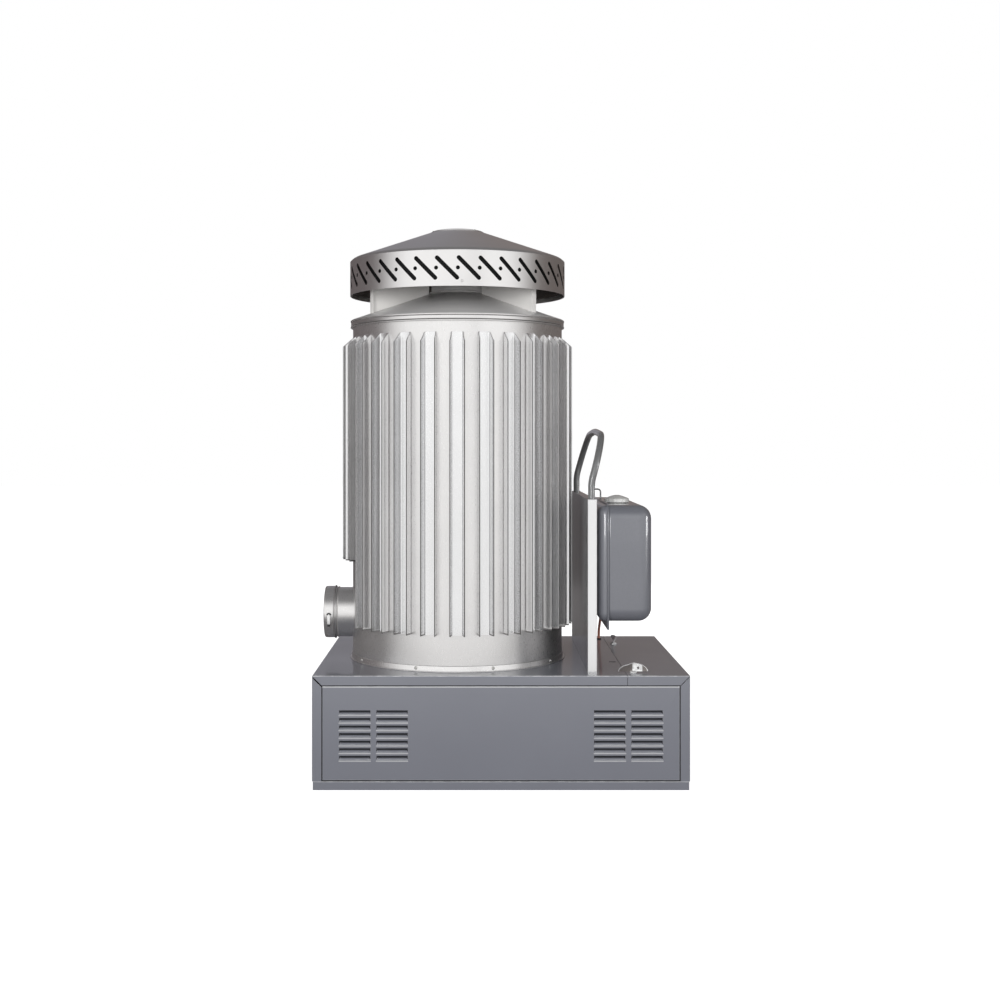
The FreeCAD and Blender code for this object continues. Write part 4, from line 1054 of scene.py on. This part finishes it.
def makeLidCap():
    low, high = levelOf("hood_cap")
    capR = widthOf("hood_cap")
    edgeZ, edgeR, holeR, slope = lidLine()
    seatZ = edgeZ + (edgeR - capR) * slope
    edge, play = lidCap["edge"], lidCap["play"]
    bm = bmesh.new()
    spinRing(bm, [(0.0, low), (holeR - play, low), (capR, seatZ + play), (capR, seatZ + lidCap["rim"]),
                  (capR - edge, high - lidCap["crown"]), (0.0, high)], bodyAxis, steps=lidCap["steps"],
             closed=False)

    def topEdge(line):
        reach = max((v.co - bodyAxis).xy.length for v in line.verts)
        return min(v.co.z for v in line.verts) > high - 0.001 and reach > capR - edge * 1.1

    roundOff(bm, lidCap["round"], 4, 8.0, topEdge)
    addPiece("HoodCap", bm, "heater", "hoodSteel", "hood_cap")
    bm = bmesh.new()
    rivet = studMesh(hood["rivetR"] * lidCap["rivetShare"], hood["rivetTall"], "domed")
    for n in range(lidCap["rivets"]):
        outward = sideAt(math.radians(lidCap["rivetTurn"]) + n * fullTurn / lidCap["rivets"])
        place = bodyAxis + outward * (capR - edge / 2) + up * (seatZ + high) / 2
        placeMesh(bm, rivet, place, (outward + up).normalized())
    addPiece("CapRivets", bm, "heater", "brightZinc")


def makeSlotShadeRing():
    # welded under the lid; its black outside is painted shade behind the slots, so no daylight shows
    # through them
    edgeZ, edgeR, holeR, slope = lidLine()
    t = hood["sheet"]
    ringR = widthOf("hood_lid") - slotShadeRing["inward"]
    inR = ringR - slotShadeRing["sheet"]
    footZ = edgeZ - hood["slotTop"] - hood["slotWay"] - slotShadeRing["below"]
    headZ = edgeZ - t * lid["under"] + (edgeR - t - ringR) * slope
    inHeadZ = headZ + slotShadeRing["sheet"] * slope
    bm = bmesh.new()
    spinRing(bm, [(inR, footZ), (ringR, footZ), (ringR, headZ), (inR, inHeadZ)], bodyAxis,
             steps=slotShadeRing["steps"])
    lookInside(bm)
    addPiece("SlotShadeRing", bm, "heater", "shadeBlack", more=("shadeZinc",))


def makeBrackets():
    # painted shade where they stand up inside the skirt
    shadeFromZ = levelOf("hood_skirt")[0] + hood["shadeUp"]
    bm = copyNode("hood_brackets")
    cutAcross(bm, (0, 0, shadeFromZ), up)
    giveLook(bm, 1, lambda f: f.calc_center_median().z > shadeFromZ)
    sheetPiece("hood_brackets", "heater", "creamPlate", edge=hood["bracketEdge"],
               more=("hoodInsideShade",), bm=bm)


makeSkirt()
makeLid()
makeLidCap()
makeSlotShadeRing()
makeBrackets()
report("hood done")

# flue stub, clamp band and its lug; the shapes are shares of the bead or the roll
flue = {"wall": 0.002, "bead": 0.0018, "stopGap": 0.006, "fuller": 0.0018, "steps": 128,
        "beadShape": ((0.0, -1.6), (0.75, -0.8), (1.0, 0.0), (0.75, 0.8), (0.0, 1.6))}
clamp = {"band": 0.0026, "play": 0.00015, "bead": 0.0024, "roll": 0.004, "round": 0.0005,
         "beadShape": ((0.6, 0.0), (1.0, 0.5), (0.6, 1.0), (0.0, 1.3)),
         "rollShape": ((0.0, 1.0), (0.25, 0.3), (0.5, 0.0))}
lug = {"inward": 0.0005, "low": 0.009, "round": 0.0016, "nutIn": 0.0015, "nutFront": 0.001, "nutUp": 0.004,
       "nutGap": 0.0001, "nutRound": 0.0012, "hookR": 0.0042, "hookThick": 0.0014, "hookIn": 0.003,
       "hookDown": 0.001, "hookSides": 12, "hookSteps": 16}


def makeFlue():
    low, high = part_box("flue_stub")
    axis = Vector((0, bodyAxis.y, (low.z + high.z) / 2))
    bead = flue["bead"]
    outR = (high.z - low.z) / 2 - bead + flue["fuller"]
    inR = outR - flue["wall"]
    left, right = -low.x, -high.x
    stop = -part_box("flue_clamp")[1].x
    beadAt = stop - flue["stopGap"]
    points = [(inR, left), (inR, right), (outR, right)]
    points += [(outR + bead * out, beadAt + bead * along) for out, along in flue["beadShape"]]
    points.append((outR, left))
    bm = bmesh.new()
    spinRing(bm, points, axis, toLeft, flue["steps"])
    addPiece("FlueStub", bm, "heater", "satinSteel", "flue_stub")
    inR = outR + clamp["play"]
    bandR = inR + clamp["band"]
    bead, roll = clamp["bead"], clamp["roll"]
    points = [(inR, left), (inR, stop)]
    points += [(bandR + bead * out, stop + bead * along) for out, along in clamp["beadShape"]]
    points += [(bandR - roll * inward, left - roll * along) for inward, along in clamp["rollShape"]]
    bm = bmesh.new()
    spinRing(bm, points, axis, toLeft, flue["steps"])
    roundOff(bm, clamp["round"], 3, 15.0)
    # painted shade: the band's flanks are dark
    giveLook(bm, 1, lambda f: abs(f.normal.x) > 0.75)
    addPiece("FlueClamp", bm, "heater", "satinSteel", "flue_clamp", ("shadeLine",))


def makeLug():
    # a bright tab with a wire hook over it and a nut under it, both in dark plastic as painted shade round
    # the tab
    low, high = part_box("clamp_block")
    foot = low.z + lug["low"]
    bm = bmesh.new()
    addBox(bm, (low.x + lug["inward"], low.y, foot), (high.x - lug["inward"], high.y, high.z))
    roundOff(bm, lug["round"], 4, 60.0)
    other = bmesh.new()
    addBox(other, (low.x + lug["nutIn"], low.y + lug["nutFront"], low.z + lug["nutUp"]),
           (high.x - lug["nutIn"], high.y, foot - lug["nutGap"]))
    roundOff(other, lug["nutRound"], 3, 60.0)
    middle = Vector(((low.x + high.x) / 2, low.y + lug["hookIn"], high.z - lug["hookDown"]))
    halfRing(other, middle, lug["hookR"], lug["hookThick"], lug["hookSides"], lug["hookSteps"])
    # painted shade: the hook and the nut are dark
    giveLook(other, 1, allFaces)
    bm.from_mesh(toMesh(other, "lugHook"))
    addPiece("ClampBlock", bm, "heater", "brightZinc", "clamp_block", ("mouldedPlastic",))


makeFlue()
makeLug()
report("flue done")

# tank panel, handle, tank halves
handle = {"tubeR": 0.008, "bend": 0.100, "kneeUp": 0.040, "crown": 0.009, "crownUp": 0.0035,
          "crownBend": 1.2, "sides": 24, "bendSteps": 16}
tank = {"panelEdge": 0.0005, "rim": 0.005, "rimDrop": 0.017, "rimSheet": 0.002, "rimRound": 0.0007,
        "corner": 0.031, "cornerSteps": 8, "seamFlat": 0.0032, "seamRound": 0.006}


def makeTankPanel():
    bm = copyNode("tank_panel")
    giveLook(bm, 1, lambda f: f.normal.y < -0.7)  # painted highlight: the folded front edge takes the brighter fin sheet
    sheetPiece("tank_panel", "heater", "panelSheet", edge=tank["panelEdge"], more=("finSheet",), bm=bm)


def makeHandle():
    low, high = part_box("handle_tube")
    panelLow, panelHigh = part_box("tank_panel")
    r = handle["tubeR"]
    legX = (panelLow.x + panelHigh.x) / 2
    barX = high.x - r
    near, far = low.y + r, high.y - r
    kneeZ = panelHigh.z + handle["kneeUp"]
    endZ = high.z - r - handle["crown"]
    crownZ = high.z - r + handle["crownUp"]  # the wide bend stays a little under this
    route = [(legX, near, low.z), (legX, near, kneeZ), (barX, near, endZ), (barX, (near + far) / 2, crownZ),
             (barX, far, endZ), (legX, far, kneeZ), (legX, far, low.z)]
    bends = [handle["bend"]] * 5
    bends[2] = handle["crownBend"]
    bm = bmesh.new()
    bentTube(bm, route, bends, r, handle["sides"], handle["bendSteps"])
    addPiece("CarryHandle", bm, "heater", "handlePaint", "handle_tube")


def tankHalf(node, seamLeft):
    low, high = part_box(node)
    rim = tank["rim"]
    low += Vector((0, rim, tank["rimDrop"]))
    high -= Vector((0, rim, rim))
    seam, inward = (low.x, 1) if seamLeft else (high.x, -1)
    flat = 0.0005
    bm = bmesh.new()
    addBox(bm, low, high)
    size = min(tank["corner"], high.x - low.x - tank["seamFlat"])
    roundOff(bm, size, tank["cornerSteps"], 60.0, lambda e: any(abs(v.co.x - seam) > flat for v in e.verts))
    roundOff(bm, tank["seamRound"], 5, 60.0)
    for face in bm.faces:
        face[bm.faces.layers.float["rim"]] = 0.0
    other = bmesh.new()
    back = seam + tank["rimSheet"] * inward
    addBox(other, (min(seam, back), low.y - rim, low.z - tank["rimDrop"]),
           (max(seam, back), high.y + rim, high.z + rim))

    def topCorner(edge):
        first, second = edge.verts
        return min(first.co.z, second.co.z) > low.z and abs(first.co.x - second.co.x) > flat

    roundOff(other, tank["corner"] + rim, tank["cornerSteps"], 60.0, topCorner)
    roundOff(other, tank["rimRound"], 2, 60.0)
    bm.from_mesh(toMesh(other, "tankRim"))
    addPiece(pieceName(node), bm, "heater", "tankPaint", node)


# filler cap with a scalloped rim; the roof is in shares of the radius and of the rise
filler = {"skirt": 0.0055, "rimDown": 0.0088, "scallops": 18, "scallopDeep": 0.0007, "scallopBand": 0.002,
          "roofDown": 0.0085, "rimIn": 0.0008, "rimDrop": 0.0012, "footRound": 0.001, "steps": 144,
          "roofShape": ((0.0, 0.0), (0.22, 0.06), (0.45, 0.28), (0.68, 0.56), (0.88, 0.82))}


def makeFillerCap():
    low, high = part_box("filler_cap")
    centre = Vector(((low.x + high.x) / 2, (low.y + high.y) / 2, 0))
    outR = (high.x - low.x) / 2
    inR = outR - filler["skirt"]
    fall = filler["rimDown"]
    rimZ = high.z - fall
    roof = high.z - filler["roofDown"]
    foot = filler["footRound"]
    points = [(outR * out, high.z - fall * down) for out, down in filler["roofShape"]]
    points += [(outR - filler["rimIn"], rimZ), (outR, rimZ - filler["rimDrop"]), (outR, low.z + foot),
               (outR - foot, low.z), (inR, low.z), (inR, roof), (0.0, roof)]
    bm = bmesh.new()
    spinRing(bm, points, centre, steps=filler["steps"], closed=False)
    for v in bm.verts:
        out = levelOut(v.co, centre)
        if out.length > outR - filler["scallopBand"]:
            wave = 0.5 + 0.5 * math.cos(filler["scallops"] * math.atan2(out.y, out.x))
            v.co -= out.normalized() * filler["scallopDeep"] * wave
    addPiece("FillerCap", bm, "filler_cap", "capZinc", "filler_cap")


# breather, fuel line and the small fittings
pipes = {"breatherR": 0.0022, "breatherBend": 0.008, "breatherHook": 0.013, "lineR": 0.0035,
         "lineBend": 0.040, "fittingEdge": 0.0004}
fittings = {"outlet_fitting": "turnedBrass", "fuel_grommet": "blackRubber", "filler_neck": "zincPlate",
            "tank_spacers": "blackRubber", "power_inlet": "mouldedPlastic"}


def makePipes():
    low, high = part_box("breather_pipe")
    r = pipes["breatherR"]
    midY = (low.y + high.y) / 2
    bendZ = high.z - r
    route = [(high.x - r, midY, low.z), (high.x - r, midY, bendZ), (low.x + r, midY, bendZ),
             (low.x + r, midY, bendZ - pipes["breatherHook"])]
    bm = bmesh.new()
    bentTube(bm, route, [pipes["breatherBend"]] * 2, r, 14, 8)
    addPiece("Breather", bm, "heater", "handlePaint", "breather_pipe")
    low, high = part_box("fuel_line")
    r = pipes["lineR"]
    midX = (low.x + high.x) / 2
    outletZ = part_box("outlet_fitting")[0].z
    halfWay = (outletZ + topZ) / 2
    span = (outletZ - topZ) / 4
    route = [(midX, low.y + r, high.z), (midX, low.y + r, halfWay + span),
             (midX, high.y - r, halfWay - span), (midX, high.y - r, low.z)]
    bm = bmesh.new()
    bentTube(bm, route, [pipes["lineBend"]] * 2, r, 16, 10)
    addPiece("FuelLine", bm, "heater", "copperTube", "fuel_line")
    for node, look in fittings.items():
        sheetPiece(node, "heater", look, edge=pipes["fittingEdge"])


makeTankPanel()
makeHandle()
tankHalf("tank_outer_half", True)
tankHalf("tank_inner_half", False)
makeFillerCap()
makePipes()
report("tank side done")

# cover screws: arched half-round plates, each half turned a little, on a low knob
fastener = {"sheet": 0.0016, "lift": 0.0035, "twist": 24.0, "twistShare": 3, "rearTurn": 80.0,
            "archSteps": 64, "eyeR": 0.0028, "eyeOut": 0.34, "eyeUp": 0.42, "eyeSteps": 16,
            "bead": 0.0011, "beadSides": 10, "beadSteps": 48, "bright": (-0.05, 0.62)}
knob = {"radius": 0.009, "tall": 0.006, "side": 0.002, "topShare": 0.7, "topDown": 0.001, "shankR": 0.004,
        "round": 0.0004, "steps": 32}


def coverScrew(node, body, degrees, shade):
    low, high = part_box(node)
    origin = Vector((0, 0, 0))
    turn = math.radians(degrees)
    half = (high.x - low.x) / 2 if degrees == 0 else (high.y - low.y) / 2 / math.sin(turn)
    tall = high.z - topZ - fastener["lift"]
    flatten = (1, 1, tall / half)
    upright = Matrix.Rotation(math.radians(90), 4, "X")
    bm = bmesh.new()
    bmesh.ops.create_circle(bm, cap_ends=True, segments=fastener["archSteps"], radius=half, matrix=upright)
    cutAcross(bm, origin, -up, clear=True)
    bmesh.ops.scale(bm, vec=flatten, verts=bm.verts)
    eye = bmesh.ops.create_circle(bm, cap_ends=False, segments=fastener["eyeSteps"],
                                  radius=fastener["eyeR"], matrix=upright)
    shift = Vector((half * fastener["eyeOut"], 0, tall * fastener["eyeUp"]))
    bmesh.ops.translate(bm, vec=shift, verts=eye["verts"])
    bmesh.ops.delete(bm, geom=bm.faces[:], context="FACES_ONLY")
    bmesh.ops.triangle_fill(bm, edges=bm.edges[:], use_beauty=True, normal=toFront)
    bmesh.ops.subdivide_edges(bm, edges=[e for e in bm.edges if not e.is_boundary], cuts=3)
    bmesh.ops.solidify(bm, geom=bm.faces[:], thickness=fastener["sheet"])
    bmesh.ops.recalc_face_normals(bm, faces=bm.faces)
    # painted reflection: only the middle of the front face is bright, the rest takes the second look, a
    # painted shade
    brightLow, brightHigh = (half * share for share in fastener["bright"])
    for cutX in (brightLow, brightHigh):
        cutAcross(bm, (cutX, 0, 0), (1, 0, 0))
    giveLook(bm, 1, lambda f: f.normal.y < -0.7
             and not brightLow < f.calc_center_median().x < brightHigh)
    # rolled bead round the arch
    bead = fastener["bead"]
    fresh = halfRing(bm, origin, half - bead, bead, fastener["beadSides"], fastener["beadSteps"])
    bmesh.ops.scale(bm, vec=flatten, verts=fresh)
    for v in bm.verts:
        share = max(-1.0, min(1.0, v.co.x / half * fastener["twistShare"]))
        v.co = Matrix.Rotation(-math.radians(fastener["twist"]) * share, 3, "X") @ v.co
    bmesh.ops.translate(bm, verts=bm.verts, vec=up * (topZ + fastener["lift"]))
    other = bmesh.new()
    knobR, knobZ, shankR = knob["radius"], topZ + knob["tall"], knob["shankR"]
    spinRing(other, [(0.0, low.z), (shankR, low.z), (shankR, topZ), (knobR, topZ),
                     (knobR, topZ + knob["side"]), (knobR * knob["topShare"], knobZ - knob["topDown"]),
                     (0.0, knobZ)], origin, steps=knob["steps"], closed=False)
    roundOff(other, knob["round"], 2)
    bm.from_mesh(toMesh(other, "screwKnob"))
    bmesh.ops.rotate(bm, verts=bm.verts, cent=origin, matrix=Matrix.Rotation(turn, 3, "Z"))
    bmesh.ops.translate(bm, verts=bm.verts, vec=((low.x + high.x) / 2, (low.y + high.y) / 2, 0))
    addPiece(pieceName(node), bm, body, "brightZinc", node, (shade,))


coverScrew("cover_screw_front", "front_cover_screw", 0.0, "shadeZinc")
coverScrew("cover_screw_rear", "rear_cover_screw", fastener["rearTurn"], "brightZinc")
report("cover screws done")

# small things on the cabinet: the clip by the seam and the rear panel's screws
clip = {"long": 0.016, "wide": 0.003, "tall": 0.0008, "sink": 0.0002, "inward": 0.007, "y": -0.126,
        "endShare": 0.45, "edge": 0.0002}
rearScrew = {"radius": 0.0045, "tall": 0.0024, "inward": 0.011, "perSide": 4}


def makeClip():
    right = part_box("top_plate")[1].x - clip["inward"]
    bm = bmesh.new()
    addBox(bm, (right - clip["long"], clip["y"], topZ - clip["sink"]),
           (right, clip["y"] + clip["wide"], topZ + clip["tall"]))
    roundOff(bm, clip["wide"] * clip["endShare"], 4, 60.0,
             lambda e: abs(e.verts[0].co.z - e.verts[1].co.z) > clip["tall"] / 2)
    roundOff(bm, clip["edge"], 2, 60.0)
    addPiece("SeamClip", bm, "heater", "blackRubber")


def makeRearScrews():
    low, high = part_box("rear_panel")
    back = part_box("left_side_panel")[1].y
    screw = studMesh(rearScrew["radius"], rearScrew["tall"])
    inset, last = rearScrew["inward"], rearScrew["perSide"] - 1
    bm = bmesh.new()
    for x in (low.x + inset, high.x - inset):
        for n in range(last + 1):
            z = low.z + inset + (high.z - low.z - inset * 2) * n / last
            placeMesh(bm, screw, Vector((x, back, z)), toBack)
    addPiece("RearScrews", bm, "heater", "zincPlate")


makeClip()
makeRearScrews()
report("trim done")

# pieces whose frame shape is right keep it, with their own finish
plainPieces = {
    "screw_receptacles": "zincPlate", "chamber_support": "castIron", "combustion_chamber": "heatTinted",
    "flame_tube": "heatTinted", "burner_pot": "castIron", "air_duct": "galvanised",
    "motor_bracket": "galvanised", "fan_motor": "motorPaint", "handle_sockets": "mouldedPlastic",
    "cap_seal": "blackRubber", "fuel_regulator": "castAlloy", "regulator_bracket": "galvanised",
    "feed_pipe": "copperTube", "control_box": "mouldedPlastic", "fan_wheel": "castAlloy",
}
for nodeName, lookName in plainPieces.items():
    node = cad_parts[nodeName]
    node.data.materials.clear()
    node.data.materials.append(looks[lookName])
report("remaining finishes set")
